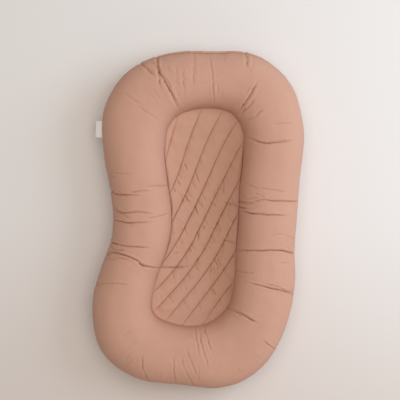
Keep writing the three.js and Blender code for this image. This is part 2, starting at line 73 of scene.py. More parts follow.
# The roll's stations go counter-clockwise from the waist on the right. Each is its place across and
# along, its width and its crown height, as shares of the sizes above. The head end lies a quarter of
# the way round, and the foot end three quarters.
STATION_SHARES = [
    (0.974, 0, 0.978, 1),
    (0.982, 0.216, 0.997, 0.99),
    (0.997, 0.444, 0.986, 0.98),
    (0.987, 0.676, 1.009, 0.98),
    (0.827, 0.868, 1.08, 0.97),
    (0.501, 0.983, 1.047, 0.96),
    (0, 0.999, 0.963, 0.95),
    (-0.464, 0.954, 1.021, 0.96),
    (-0.79, 0.85, 1.119, 0.97),
    (-0.953, 0.684, 1.102, 0.98),
    (-0.949, 0.456, 1.024, 0.98),
    (-0.856, 0.221, 0.976, 0.99),
    (-0.773, 0.004, 0.966, 1),
    (-0.797, -0.206, 0.952, 1),
    (-0.926, -0.43, 0.937, 0.99),
    (-0.986, -0.679, 0.993, 0.98),
    (-0.867, -0.858, 1.064, 0.97),
    (-0.581, -0.959, 1.053, 0.96),
    (-0.064, -0.994, 0.969, 0.95),
    (0.411, -0.971, 1.108, 0.95),
    (0.707, -0.863, 1.096, 0.96),
    (0.919, -0.675, 1.021, 0.97),
    (0.992, -0.428, 1.014, 0.98),
    (0.976, -0.22, 0.993, 0.99),
]
STATION_SIZES = (HALF_FRAME_WIDTH, HALF_FRAME_LENGTH, ROLL_WIDTH, LOUNGER_HEIGHT)
STATIONS = np.array(STATION_SHARES) * STATION_SIZES
HEAD_PLACE = 0.25
FOOT_PLACE = 0.75


def smooth_step(value):
    """Eases from 0 to 1 as the value goes from 0 to 1: three squares less two cubes."""
    v = np.clip(value, 0, 1)
    return v * v * (3 - 2 * v)


def bell(distance, width):
    """A rounded bump of height 1 about distance 0: e to the power of minus the square of distance
    over width."""
    return np.exp(-((distance / width) ** 2))


def closed_spline(points, t):
    """A closed curve through the points, and its slope, of cubic pieces whose tangents are half the
    chord between neighbours."""
    count = len(points)
    place = np.mod(t, 1.0) * count
    index = np.floor(place).astype(int)
    w = (place - index)[..., None]
    before, start, end, after = (points[(index + step) % count] for step in (-1, 0, 1, 2))
    leave, arrive = (end - before) / 2, (after - start) / 2
    value = (2 * w**3 - 3 * w**2 + 1) * start + (w**3 - 2 * w**2 + w) * leave
    value += (3 * w**2 - 2 * w**3) * end + (w**3 - w**2) * arrive
    slope = (6 * w**2 - 6 * w) * (start - end)
    slope += (3 * w**2 - 4 * w + 1) * leave + (3 * w**2 - 2 * w) * arrive
    return value, slope


def roll_frame(t):
    """The section at t: its centre and outward direction in plan, half its width, half its height, and
    the height of its middle, which lies half the height under the crown."""
    value, slope = closed_spline(STATIONS, t)
    outward = np.stack([slope[..., 1], -slope[..., 0]], -1)
    outward /= np.linalg.norm(outward, axis=-1, keepdims=True)
    half_height = (value[..., 3] + BOTTOM_SINK) / 2
    return value[..., :2], outward, value[..., 2] / 2, half_height, value[..., 3] - half_height


def fullness(value):
    """Rounds a sine or cosine towards a fuller section: its size to the power of two over the
    roundness, with its sign kept."""
    return np.sign(value) * np.abs(value) ** (2 / ROLL_ROUNDNESS_SHARE)


def roll_point(t, angle, inset=0.0):
    """A point of the roll's skin: out by the half width times the full cosine of the angle, and up by
    the half height times its full sine, never below the floor. Angle 0 faces outwards, a quarter turn
    is the crown, and half a turn faces the well."""
    centre, outward, half_width, half_height, middle = roll_frame(t)
    reach = (half_width - inset) * fullness(np.cos(angle))
    height = middle + (half_height - inset) * fullness(np.sin(angle))
    plan = centre + outward * reach[..., None]
    return np.concatenate([plan, np.maximum(height, inset)[..., None]], -1)


def angle_at_height(t, height, inset=0.0):
    """The angle on the outer side at which the section at t reaches a height: the arcsine of the rise
    over the half height, with the fullness undone."""
    _, _, _, half_height, middle = roll_frame(t)
    rise = (height - middle) / (half_height - inset)
    return np.arcsin(np.sign(rise) * np.abs(rise) ** (ROLL_ROUNDNESS_SHARE / 2))


def nearness(t, place, reach):
    """How near t lies to a place on the ring: a bell over the shorter way round."""
    apart = t - place
    return bell(apart - np.round(apart), reach)


# The perimeter seam joins the top to the underside. It is level along both sides and pulled up over
# the rounded ends. The quilt seam is level too, and rises towards the head end.
PERIMETER_SEAM_HEIGHT = 0.055
HEAD_SEAM_LIFT = 0.031
FOOT_SEAM_LIFT = 0.012
SEAM_LIFT_REACH = 0.09
SEAM_GAP = 0.0002
SEAM_ALLOWANCE = 0.005
QUILT_SEAM_HEIGHT = 0.046
QUILT_HEAD_LIFT = 0.016
QUILT_HEAD_START = 0.08
QUILT_HEAD_REACH = 0.15
QUILT_SEAM_OVERLAP = 0.025


def seam_height(t):
    """The perimeter seam's height: its level, and a lift near the head and the foot."""
    head = HEAD_SEAM_LIFT * nearness(t, HEAD_PLACE, SEAM_LIFT_REACH)
    return PERIMETER_SEAM_HEIGHT + head + FOOT_SEAM_LIFT * nearness(t, FOOT_PLACE, SEAM_LIFT_REACH)


def quilt_rim_height(y):
    """The quilt seam's height at y: its level, and a lift that eases in towards the head end."""
    lift = smooth_step((y - QUILT_HEAD_START) / QUILT_HEAD_REACH)
    return QUILT_SEAM_HEIGHT + QUILT_HEAD_LIFT * lift


def quilt_seam_angle(t, inset=0.0):
    """The angle round the section at which the quilt seam lies at t: the one at which the inner side
    reaches the seam's height."""
    level = roll_point(t, math.pi - angle_at_height(t, QUILT_SEAM_HEIGHT, inset), inset)
    return math.pi - angle_at_height(t, quilt_rim_height(level[..., 1]), inset)


# The stuffing swells the cloth a little, and both seams gather it. A set of swellings is a height, the
# shortest and longest wave, how many there are, and a seed. A set of gathers is a height, a reach from
# the seam, and a seed. A groove is a depth and a reach, and a painted shade along a seam is a strength
# and a reach.
BROAD_SWELLS = (0.0014, 0.08, 0.18, 18, 3)
FINE_SWELLS = (0.0003, 0.02, 0.05, 24, 5)
PERIMETER_GATHERS = (0.00105, 0.010, 11)
QUILT_GATHERS = (0.0005, 0.014, 17)
SHORT_GATHER_CYCLES = (70, 170)
LONG_GATHER_CYCLES = (26, 64)
LONG_GATHER_SHARE = 0.6
LONG_GATHER_PLACE = 2.4
FURROW_SLOPE = 2.2
FURROW_ROUNDNESS = 0.75
GATHERED_END_REACH = 0.13
GATHERED_SIDE_SHARE = 0.25
PERIMETER_SIDE_SHARE = 0.35
PERIMETER_GROOVE = (0.0024, 0.004)
QUILT_GROOVE = (0.0016, 0.004)
PERIMETER_SEAM_SHADE = (0.9, 0.0012)
ROLL_QUILT_SEAM_SHADE = (1, 0.0016)
NOISE_STEPS = 8
LEAST_PULL = 0.1
LEFT_PULL = 0.25
LEFT_WAIST_PULL = 0.65
LEFT_PULL_REACH = 0.13
RIGHT_PULL = 0.8
RIGHT_PULL_PLACE = 0.12
RIGHT_PULL_REACH = 0.07
WELL_BLEND = 0.06


def swelling(points, height, shortest, longest, count, seed):
    """Low swellings of about a height either way: a sum of plane waves in random directions, of
    lengths between two limits."""
    random = np.random.default_rng(seed)
    direction = random.normal(size=(count, points.shape[-1]))
    direction /= np.linalg.norm(direction, axis=1, keepdims=True)
    wave = direction * (2 * math.pi / random.uniform(shortest, longest, (count, 1)))
    phase = random.uniform(0, 2 * math.pi, count)
    total = sum(np.cos(points @ wave[k] + phase[k]) for k in range(count))
    return height * (total / math.sqrt(2 * count))


def ring_noise(t, fewest, most, seed):
    """A random wave round the ring that closes on itself: a sum of cosines of whole numbers of cycles
    between two limits, scaled to reach 1."""
    random = np.random.default_rng(seed)
    cycles = np.arange(fewest, most + 1)[:, None]
    size, phase = random.normal(size=cycles.shape), random.uniform(0, 2 * math.pi, cycles.shape)
    table = np.linspace(0, 1, NOISE_STEPS * most, endpoint=False)
    wave = (size * np.cos(2 * math.pi * cycles * table + phase)).sum(0)
    wave /= np.abs(wave).max()
    return np.interp(np.mod(t, 1.0), np.append(table, 1.0), np.append(wave, wave[0]))


def furrows(wave):
    """Gathered cloth from a smooth wave: rounded backs with sharp valleys where it crosses zero, as
    its size to a power, less 1."""
    return np.minimum(np.abs(wave) * FURROW_SLOPE, 1.0) ** FURROW_ROUNDNESS - 1


def gathered(t, distance, height, reach, seed):
    """Cloth drawn up along a seam: short furrows that die away with the distance, and longer ones in a
    band beside them."""
    short = furrows(ring_noise(t, *SHORT_GATHER_CYCLES, seed)) * np.exp(-distance / reach)
    long = furrows(ring_noise(t, *LONG_GATHER_CYCLES, seed + 1))
    return height * (short + LONG_GATHER_SHARE * long * bell(distance, LONG_GATHER_PLACE * reach))


def seam_tightness(points):
    """How hard the quilt seam pulls, from 0.1 to 1: an even pull and a bell at the waist on the left,
    which ease across the well into a bell on the right, nearer to the head."""
    x, y = points[..., 0], points[..., 1]
    right = smooth_step(0.5 + x / WELL_BLEND)
    left_pull = LEFT_PULL + LEFT_WAIST_PULL * bell(y, LEFT_PULL_REACH)
    right_pull = RIGHT_PULL * bell(y - RIGHT_PULL_PLACE, RIGHT_PULL_REACH)
    return LEAST_PULL + (1 - right) * left_pull + right * right_pull


# Folds cross the roll. Across a fold a sharp valley lies between a near ridge and a far one, in a
# broad dip. Along it the fold wanders a little, grows from nothing and fades out again. A profile
# row is a height, a place and a width, in depths and widths of the fold.
MILLIMETRE = 0.001
FOLD_MARGIN = 0.03
FOLD_STEPS = 8
FOLD_PROFILE = ((0.5, 2.9, 1.9), (0.3, -3.3, 2.3), (-0.3, 0, 6.5))
VALLEY_SHARPNESS = 1.25
FOLD_WANDER = (1, 0.012, 0.03, 6, 7)
FOLD_JITTER = (1, 0.004, 0.011, 8, 9)
WANDER_REACH = 0.0012
JITTER_REACH = 0.0004
WANDER_DEPTH_SHARE = 0.35
JITTER_DEPTH_SHARE = 0.3
FOLD_GROWTH_SHARE = 0.25
FOLD_FADE_SHARE = 0.3
# Painted shade in a fold is full where the fold is this deep, in millimetres, and lies within this share of its
# width.
FULL_SHADE_DEPTH = 3.0
FOLD_SHADE_WIDTH = 0.6

# The photograph looks down on the lounger: its length and its middle there, in pixels, how far it is
# turned, and a last shift, in metres.
PHOTO_LENGTH = 337.3
PHOTO_CENTRE = (198.1, 220.05)
PHOTO_TURN = math.radians(3.5)
PHOTO_SHIFT = (-0.00128, 0.00363)
METRES_PER_PIXEL = LOUNGER_LENGTH / PHOTO_LENGTH


def from_photo(pixels):
    """Places on the lounger, seen in plan, for pixels of the photograph: scaled, turned back and
    shifted."""
    offset = np.asarray(pixels, float) - PHOTO_CENTRE
    offset = offset * (METRES_PER_PIXEL, -METRES_PER_PIXEL)
    cosine, sine = math.cos(PHOTO_TURN), math.sin(PHOTO_TURN)
    return offset @ np.array([[cosine, sine], [-sine, cosine]]) - PHOTO_SHIFT


def smooth_path(places):
    """A smooth open path through places, with the same cubic pieces as the roll's centre line."""
    ends = [2 * places[0] - places[1], *places, 2 * places[-1] - places[-2]]
    w = np.linspace(0, 1, FOLD_STEPS, endpoint=False)[:, None]
    spans = []
    for before, start, end, after in zip(ends, ends[1:], ends[2:], ends[3:]):
        way = (2 * w**3 - 3 * w**2 + 1) * start + (3 * w**2 - 2 * w**3) * end
        way += (w**3 - 2 * w**2 + w) * (end - before) / 2
        spans.append(way + (w**3 - w**2) * (after - start) / 2)
    return np.vstack([*spans, places[-1:]])


def fold_relief(plan, folds):
    """Heights of folds at places in plan, and the painted shade there, from 0 to 1, darkest along each deep
    valley. Each fold is a depth and a width in millimetres, then the places that its valley goes through. Its
    height is the profile at the signed distance from that path over the width, faded along the path."""
    flat = plan.reshape(-1, 2)
    height, painted_shade = np.zeros(len(flat)), np.zeros(len(flat))
    for depth, width, places in folds:
        path = smooth_path(np.asarray(places, float))
        low, high = path.min(0) - FOLD_MARGIN, path.max(0) + FOLD_MARGIN
        near = np.flatnonzero(((flat > low) & (flat < high)).all(1))
        if not len(near):
            continue
        start, step = path[:-1], np.diff(path, axis=0)
        length = np.linalg.norm(step, axis=1)
        offset = flat[near][:, None, :] - start
        along = np.clip((offset * step).sum(2) / length**2, 0, 1)
        distance = np.linalg.norm(offset - along[..., None] * step, axis=2)
        nearest = distance.argmin(1)
        row = np.arange(len(near))
        offset, step = offset[row, nearest], step[nearest]
        side = np.sign(step[:, 0] * offset[:, 1] - step[:, 1] * offset[:, 0])
        reached = np.concatenate([[0], np.cumsum(length)])
        travel = (reached[nearest] + along[row, nearest] * length[nearest]) / reached[-1]
        wander, jitter = swelling(flat[near], *FOLD_WANDER), swelling(flat[near], *FOLD_JITTER)
        across = side * distance[row, nearest] + WANDER_REACH * wander + JITTER_REACH * jitter
        across /= width * MILLIMETRE
        fade = smooth_step(travel / FOLD_GROWTH_SHARE) * smooth_step((1 - travel) / FOLD_FADE_SHARE)
        fade *= 1 + WANDER_DEPTH_SHARE * wander + JITTER_DEPTH_SHARE * jitter
        profile = sum(size * bell(across - place, spread) for size, place, spread in FOLD_PROFILE)
        profile -= np.exp(-(np.abs(across) ** VALLEY_SHARPNESS))
        height[near] += depth * MILLIMETRE * fade * profile
        # Painted shade along the valley, stronger for deeper folds.
        sharp = min(1.0, depth / FULL_SHADE_DEPTH) * fade * bell(across, FOLD_SHADE_WIDTH)
        painted_shade[near] = np.maximum(painted_shade[near], sharp)
    shape = plan.shape[:-1]
    return height.reshape(shape), np.clip(painted_shade, 0, 1).reshape(shape)


# Short branches leave the deep folds, and fine creases lie over both ends.
BRANCHING_DEPTH = 1.6
BRANCH_SHIFT = 0.005
BRANCH_LENGTH = (0.012, 0.034)
BRANCH_SLANT = 22
BRANCH_BEND_SHARE = 0.12
BRANCH_DEPTH_SHARE = (0.25, 0.5)
BRANCH_WIDTH_SHARE = 0.8
CREASE_START = (35, 95)
CREASE_SPAN = (0, 12, 24, 36)
CREASE_SPAN_SHARE = (0.5, 1.3)
CREASE_JITTER = 0.0005
CREASE_DEPTH = (0.25, 0.6)
CREASE_WIDTH = (1.1, 1.9)


def branched(folds, seed):
    """Adds the short shallow creases that run beside each deep fold or leave it at a slant: bent paths
    of a random length from a point of the fold."""
    random = np.random.default_rng(seed)
    found = list(folds)
    for depth, width, places in folds:
        path = smooth_path(np.asarray(places, float))
        for _ in range(random.integers(1, 4) if depth > BRANCHING_DEPTH else 0):
            index = random.integers(len(path) // 6, len(path) * 5 // 6)
            heading = path[index + 1] - path[index]
            bearing = math.atan2(heading[1], heading[0]) + random.choice((0, math.pi))
            side = np.array([-math.sin(bearing), math.cos(bearing)]) * random.uniform(-1, 1)
            start = path[index] + BRANCH_SHIFT * side
            length = random.uniform(*BRANCH_LENGTH)
            bearing += math.radians(random.uniform(-BRANCH_SLANT, BRANCH_SLANT))
            step = length * np.array([math.cos(bearing), math.sin(bearing)])
            bend = BRANCH_BEND_SHARE * length * side
            shallow = depth * random.uniform(*BRANCH_DEPTH_SHARE)
            branch = [start, start + step / 2 + bend, start + step]
            found.append((shallow, BRANCH_WIDTH_SHARE * width, branch))
    return found


def fine_creases(first, last, count, seed):
    """Faint thin creases over the roll's crown between two places on the ring: each one follows the
    section from a random angle over a random span."""
    random = np.random.default_rng(seed)
    found = []
    for t in random.uniform(first, last, count):
        start = math.radians(random.uniform(*CREASE_START))
        angle = start + np.radians(CREASE_SPAN) * random.uniform(*CREASE_SPAN_SHARE)
        places = roll_point(t + random.normal(0, CREASE_JITTER, len(CREASE_SPAN)), angle)[:, :2]
        found.append((random.uniform(*CREASE_DEPTH), random.uniform(*CREASE_WIDTH), places))
    return found


# Folds that show: depth and width in millimetres, then points in the photograph's pixels. A fold
# that runs over the edge of the roll has a point beyond the edge.
ROLL_FOLD_PIXELS = [
    (0.9, 2.0, [(107.6, 173), (121, 174), (135, 175)]),
    (0.9, 1.8, [(103, 174), (108, 175.6), (120, 179)]),
    (3.4, 1.6, [(104, 187), (111.8, 191.7), (116.7, 194.4), (129, 195.2), (143.5, 194.8)]),
    (2.0, 1.5, [(130, 193.2), (136.6, 192), (152.7, 190.6)]),
    (1.7, 1.5, [(146.6, 187.5), (157, 186), (171, 185.6)]),
    (2.2, 1.6, [(109, 204), (116, 208), (125, 212.4), (138, 211.6), (158, 213.5)]),
    (1.8, 1.4, [(114, 209), (125, 215), (135, 220)]),
    (1.7, 1.5, [(148, 218), (160, 216), (171, 211.8)]),
    (3.0, 1.5, [(108, 218), (116.7, 220.4), (136.6, 222.3), (156, 221)]),
    (3.4, 1.6, [(103, 239), (112, 241.5), (126, 245), (143.5, 246), (156, 248)]),
    (4.0, 1.6, [(98, 255.6), (107.6, 253.3), (113, 251.8), (120.6, 252.2), (132, 255.6), (138, 258.7),
                (145, 264), (159.6, 267.5), (168, 268)]),
    (1.5, 1.6, [(102, 257.5), (113, 258), (124, 257), (136, 261)]),
    (1.4, 1.5, [(92, 285), (99.6, 283.4), (117.5, 281), (136, 284.6)]),
    (1.1, 1.7, [(244, 183.5), (250, 186.5), (258, 190)]),
    (1.3, 1.7, [(254, 187.6), (266, 189.5), (286, 191.6)]),
    (2.4, 1.5, [(235, 201), (245, 203), (255, 203)]),
    (3.6, 1.5, [(246, 202.6), (258, 200.6), (276, 201.2), (295.2, 201.5), (306, 201)]),
    (2.4, 1.5, [(230, 204), (238, 207), (248, 208.6)]),
    (3.4, 1.5, [(236, 209.6), (243, 211.6), (256, 214), (270, 214.6), (290, 215.8)]),
    (1.2, 1.6, [(266, 234.8), (279, 233.7), (293.4, 238.6), (303, 242)]),
    (3.4, 1.5, [(231, 249), (245, 249.6), (270, 249), (281, 249.3), (294.3, 253), (302, 259)]),
    (0.9, 1.8, [(274, 260.8), (292, 262)]),
    (1.1, 1.8, [(233, 270.2), (245, 271), (257, 271.8)]),
    (3.2, 1.5, [(241, 279.6), (256, 283), (270, 286), (282.7, 289.5), (290.7, 293), (296, 303)]),
    (2.2, 1.4, [(261, 280.4), (276, 285.4), (290, 290.2), (300, 292)]),
    (3.1, 1.9, [(232, 308.6), (239, 311), (246, 314.4), (257, 320.6)]),
    (1.7, 1.6, [(261, 336), (268, 342.6), (278, 352)]),
    (3.2, 1.7, [(243, 136), (252, 141), (260, 144), (274.6, 144), (295, 141)]),
    (1.1, 2.2, [(268, 126.4), (280, 125.4), (294, 125.7)]),
    (2.2, 2.4, [(242, 46), (245.2, 58), (246.8, 74)]),
    (2.6, 2.4, [(256, 84), (248.5, 98), (243, 106), (236.5, 115)]),
    (1.8, 2.0, [(254, 102), (246, 110), (238, 117)]),
    (1.3, 2.2, [(263, 111), (254, 118), (245, 123)]),
    (1.2, 1.5, [(208, 54), (210.4, 66), (212, 80), (213, 96), (213.6, 112)]),
    (1.0, 2.6, [(194.7, 56), (194, 72), (193, 92)]),
    (0.9, 2.6, [(183, 70), (184, 86), (185.5, 102)]),
    (2.4, 2.3, [(155.8, 50), (158, 62), (159.6, 77), (161.4, 94)]),
    (3.0, 2.7, [(152, 62), (160, 74), (166, 85), (170.6, 93), (174.4, 101.5), (181, 114)]),
    (1.9, 2.4, [(135, 59), (146, 69), (158, 81)]),
    (0.9, 2.2, [(138, 107), (150, 116), (163, 125)]),
    (0.9, 2.2, [(124, 95), (134, 102), (147, 109)]),
    (1.7, 1.7, [(144, 348), (143.8, 362), (146, 371), (153, 384)]),
    (1.2, 1.6, [(174.4, 350), (174.2, 366), (176.4, 386)]),
    (1.0, 1.7, [(180.6, 348), (186, 368), (197, 389)]),
    (1.0, 1.7, [(184.2, 340), (190.4, 356), (200, 378)]),
    (1.1, 1.6, [(194.6, 323), (196.6, 338), (199.8, 356)]),
    (1.3, 1.6, [(199, 328), (202.6, 346), (209, 366)]),
    (1.3, 1.6, [(203, 321), (206.8, 336), (213.4, 352)]),
]
FOLD_DEPTH_SHARE = 0.8
FOLD_WIDTH_SHARE = 0.84
BRANCH_SEED = 29
HEAD_CREASES = (0.19, 0.33, 12, 53)
FOOT_CREASES = (0.66, 0.84, 8, 59)
ROLL_FOLDS = branched(
    [
        (FOLD_DEPTH_SHARE * depth, FOLD_WIDTH_SHARE * width, from_photo(pixels))
        for depth, width, pixels in ROLL_FOLD_PIXELS
    ],
    BRANCH_SEED,
)
ROLL_FOLDS += fine_creases(*HEAD_CREASES) + fine_creases(*FOOT_CREASES)

# Near the floor the swellings and gathers fade out first, and the folds a little higher up.
SWELL_FLOOR_REACH = 0.02
FOLD_FLOOR_START = 0.01
FOLD_FLOOR_REACH = 0.04


def dying_away(distance, size, reach):
    """A size at a seam that dies away from it: times e to the power of minus the distance over a reach."""
    return size * np.exp(-distance / reach)


def roll_relief(points, t, from_perimeter, from_quilt):
    """How far the stuffed cloth stands off the even roll, and the painted shade on it, from 0 to 1. The
    relief is the swellings and gathers less a groove at each seam, plus the folds, each faded at the floor.
    The painted shade lies along both seams and in the folds, which fade at the floor."""
    relief = swelling(points, *BROAD_SWELLS) + swelling(points, *FINE_SWELLS)
    ends = nearness(t, HEAD_PLACE, GATHERED_END_REACH) + nearness(t, FOOT_PLACE, GATHERED_END_REACH)
    ends = GATHERED_SIDE_SHARE + (1 - GATHERED_SIDE_SHARE) * ends
    fuller = PERIMETER_SIDE_SHARE + (1 - PERIMETER_SIDE_SHARE) * ends
    relief += fuller * gathered(t, from_perimeter, *PERIMETER_GATHERS)
    relief -= dying_away(from_perimeter, *PERIMETER_GROOVE)
    # Painted shade along the perimeter seam, and along the quilt seam as hard as it pulls.
    painted_shade = dying_away(from_perimeter, *PERIMETER_SEAM_SHADE)
    if from_quilt is not None:
        tight = seam_tightness(points)
        relief += ends * gathered(t, from_quilt, *QUILT_GATHERS)
        relief -= tight * dying_away(from_quilt, *QUILT_GROOVE)
        painted_shade = painted_shade + tight * dying_away(from_quilt, *ROLL_QUILT_SEAM_SHADE)
    relief *= smooth_step(points[..., 2] / SWELL_FLOOR_REACH)
    off_floor = smooth_step((points[..., 2] - FOLD_FLOOR_START) / FOLD_FLOOR_REACH)
    height, sharp = fold_relief(points[..., :2], ROLL_FOLDS)
    return relief + off_floor * height, np.clip(painted_shade + off_floor * sharp, 0, 1)


# The cotton is matt, with threads over and under one another, slubs both ways and a soft crumple. It
# also carries painted shade, deeper and redder, in fold valleys, along stitch lines and along seams.
COVER_COLOUR = (0.575, 0.319, 0.231)
THREAD_PITCH = 0.0009
WEAVE_DEPTH = 0.00009
SLUB_DEPTH = 0.00018
SLUB_STRETCHES = ((90, 1500, 1), (1500, 90, 1))
SLUB_CONTRAST = 0.9
BLOTCH_SCALE = 11
BLOTCH_CONTRAST = 0.8
CRUMPLE_SCALE = 70
CRUMPLE_DEPTH = 0.0005
LIGHT_SHARE = 1.045
DARK_SHARE = 0.955
CREASE_SHADE = (0.62, 0.42, 0.3)
COTTON_ROUGHNESS = 0.92
CLOTH_BUMP = 0.8
OBJECT_OUTPUT = 3
MIXED_OUTPUT = 2
AMOUNT_OUTPUT = 2


class Wire:
    """A shader socket on which +, - and * add Math nodes."""

    def __init__(self, finish, socket):
        self.finish, self.socket = finish, socket

    def __add__(self, other):
        return self.finish.maths("ADD", self, other)

    def __sub__(self, other):
        return self.finish.maths("SUBTRACT", self, other)

    def __rsub__(self, other):
        return self.finish.maths("SUBTRACT", other, self)

    def __mul__(self, other):
        return self.finish.maths("MULTIPLY", self, other)

    __radd__, __rmul__ = __add__, __mul__


class Finish:
    """A material in the making, which ends in one shader."""

    def __init__(self, name):
        self.material = bpy.data.materials.new(name)
        self.material.use_nodes = True
        self.tree = self.material.node_tree
        self.tree.nodes.clear()

    def node(self, kind, settings=None, inputs=None, outputs=(0,)):
        """Adds a node: its settings first, then a value or a wire for each socket. Gives a wire for each
        output that is asked for."""
        made = self.tree.nodes.new(kind)
        for name, value in (settings or {}).items():
            setattr(made, name, value)
        for name, value in (inputs or {}).items():
            if isinstance(value, Wire):
                self.tree.links.new(value.socket, made.inputs[name])
            else:
                made.inputs[name].default_value = value
        wires = [Wire(self, made.outputs[index]) for index in outputs]
        return wires[0] if len(wires) == 1 else wires

    def maths(self, operation, *values):
        """A Math node on values and wires, in this order."""
        return self.node("ShaderNodeMath", {"operation": operation}, dict(enumerate(values)))

    def mixed(self, factor, first, second):
        """A blend of two colours, the second one where the factor is 1."""
        ready = [colour if isinstance(colour, Wire) else (*colour, 1) for colour in (first, second)]
        inputs = {0: factor, 6: ready[0], 7: ready[1]}
        return self.node("ShaderNodeMix", {"data_type": "RGBA"}, inputs, (MIXED_OUTPUT,))

    def noise(self, place, scale, detail):
        """Soft noise from 0 to 1 at a place."""
        return self.node("ShaderNodeTexNoise", {}, {"Vector": place, "Scale": scale, "Detail": detail})

    def relief(self, height, strength):
        """A bend of the light as by a relief of this height in metres."""
        inputs = {"Height": height, "Strength": strength, "Distance": 1}
        return self.node("ShaderNodeBump", {}, inputs)

    def ended(self, inputs):
        """The material, ended in a shader with these values and wires."""
        shader = self.node("ShaderNodeBsdfPrincipled", {}, inputs)
        self.node("ShaderNodeOutputMaterial", {}, {"Surface": shader}, ())
        return self.material


def cotton(name, colour):
    """Plain-woven cotton. Its tone is a blend by slubs and blotches, and its relief is the product of two
    sines, one each way, plus the slubs and a crumple."""
    finish = Finish(name)
    cloth = finish.node("ShaderNodeUVMap", {"uv_map": "cloth"})
    place = finish.node("ShaderNodeTexCoord", outputs=(OBJECT_OUTPUT,))
    turn = 2 * math.pi / THREAD_PITCH
    along, across = finish.node("ShaderNodeSeparateXYZ", {}, {"Vector": cloth}, (0, 1))
    weave = finish.maths("SINE", along * turn) * finish.maths("SINE", across * turn)
    slubs = []
    for stretch in SLUB_STRETCHES:
        drawn = finish.node("ShaderNodeMapping", {}, {"Vector": cloth, "Scale": stretch})
        slubs.append(finish.noise(drawn, 1, 1))
    slub = (slubs[0] + slubs[1]) * 0.5
    blotch = finish.noise(place, BLOTCH_SCALE, 3)
    tone = SLUB_CONTRAST * (slub - 0.5) + BLOTCH_CONTRAST * (blotch - 0.5) + 0.5
    dark, light = ([channel * share for channel in colour] for share in (DARK_SHARE, LIGHT_SHARE))
    # Painted shade: the mask blends the cloth towards a darker, redder shade colour.
    shade_colour = [channel * share for channel, share in zip(colour, CREASE_SHADE)]
    painted_shade_mask = finish.node("ShaderNodeAttribute", {"attribute_name": "painted_shade_mask"}, outputs=(AMOUNT_OUTPUT,))
    painted_shade = finish.mixed(painted_shade_mask, finish.mixed(tone, dark, light), shade_colour)
    crumple = finish.noise(place, CRUMPLE_SCALE, 3)
    height = WEAVE_DEPTH * weave + SLUB_DEPTH * slub + CRUMPLE_DEPTH * crumple
    bump = finish.relief(height, CLOTH_BUMP)
    return finish.ended({"Base Color": painted_shade, "Roughness": COTTON_ROUGHNESS, "Normal": bump})


# Every cloth surface is a grid of points made into quads, whose UV map holds metres along the cloth.
def quad_piece(name, points, quads, material):
    """A smooth mesh of four-sided faces over a list of points."""
    mesh = bpy.data.meshes.new(name)
    mesh.vertices.add(len(points))
    mesh.vertices.foreach_set("co", points.astype(np.float32).ravel())
    mesh.loops.add(quads.size)
    mesh.loops.foreach_set("vertex_index", quads.astype(np.int32).ravel())
    mesh.polygons.add(len(quads))
    mesh.polygons.foreach_set("loop_start", np.arange(0, quads.size, 4, dtype=np.int32))
    mesh.update(calc_edges=True)
    mesh.polygons.foreach_set("use_smooth", np.ones(len(quads), bool))
    mesh.materials.append(material)
    piece = bpy.data.objects.new(name, mesh)
    bpy.context.scene.collection.objects.link(piece)
    return piece


def grid_piece(name, points, material, closed=False, cloth=None, painted_shade_mask=None):
    """A mesh over rows and columns of points, with the mean distance along its rows and columns as its map
    unless one is given. Closed joins the last row to the first."""
    rows, columns = points.shape[:2]
    index = np.arange(rows * columns).reshape(rows, columns)
    if cloth is None:
        along = np.linalg.norm(np.diff(points, axis=0, append=points[:1]), axis=2).mean(1)
        across = np.linalg.norm(np.diff(points, axis=1, append=points[:, -1:]), axis=2).mean(0)
        starts = [np.concatenate([[0], np.cumsum(lengths)])[:-1] for lengths in (along, across)]
        cloth = np.stack(np.meshgrid(*starts, indexing="ij"), -1)
        closing = starts[0][-1] + along[-1]
    if closed:
        index = np.vstack([index, index[:1]])
        cloth = np.vstack([cloth, cloth[:1] + (closing, 0)])
    quads, corners = (
        np.stack([grid[:-1, :-1], grid[1:, :-1], grid[1:, 1:], grid[:-1, 1:]], 2) for grid in (index, cloth)
    )
    piece = quad_piece(name, points.reshape(-1, 3), quads.reshape(-1, 4), material)
    piece.data.uv_layers.new(name="cloth").data.foreach_set("uv", corners.astype(np.float32).ravel())
    # Painted shade: an optional mask kept on the points, which the cotton reads to darken its colour.
    if painted_shade_mask is not None:
        painted_shade = piece.data.attributes.new("painted_shade_mask", "FLOAT", "POINT")
        painted_shade.data.foreach_set("value", painted_shade_mask.astype(np.float32).ravel())
    return piece


LEAST_LENGTH = 1e-12


def grid_normals(points, closed=False):
    """Unit normals of a grid: the cross product of its steps along rows and columns."""
    along = np.roll(points, -1, 0) - np.roll(points, 1, 0) if closed else np.gradient(points, axis=0)
    normal = np.cross(along, np.gradient(points, axis=1))
    return normal / np.maximum(np.linalg.norm(normal, axis=2, keepdims=True), LEAST_LENGTH)


def arc_lengths(points):
    """Distance travelled along each row of a grid from its first column: the sum of its steps."""
    steps = np.linalg.norm(np.diff(points, axis=1), axis=2)
    return np.concatenate([np.zeros((len(points), 1)), np.cumsum(steps, axis=1)], 1)


def crowded(even, ease):
    """Even places moved towards the whole numbers: each less a share of a sine of one wave per unit."""
    return even - ease * np.sin(2 * math.pi * even) / (2 * math.pi)


RING_ROWS = 2400
TOP_COLUMNS = 130
TOP_CROWDING = 0.6

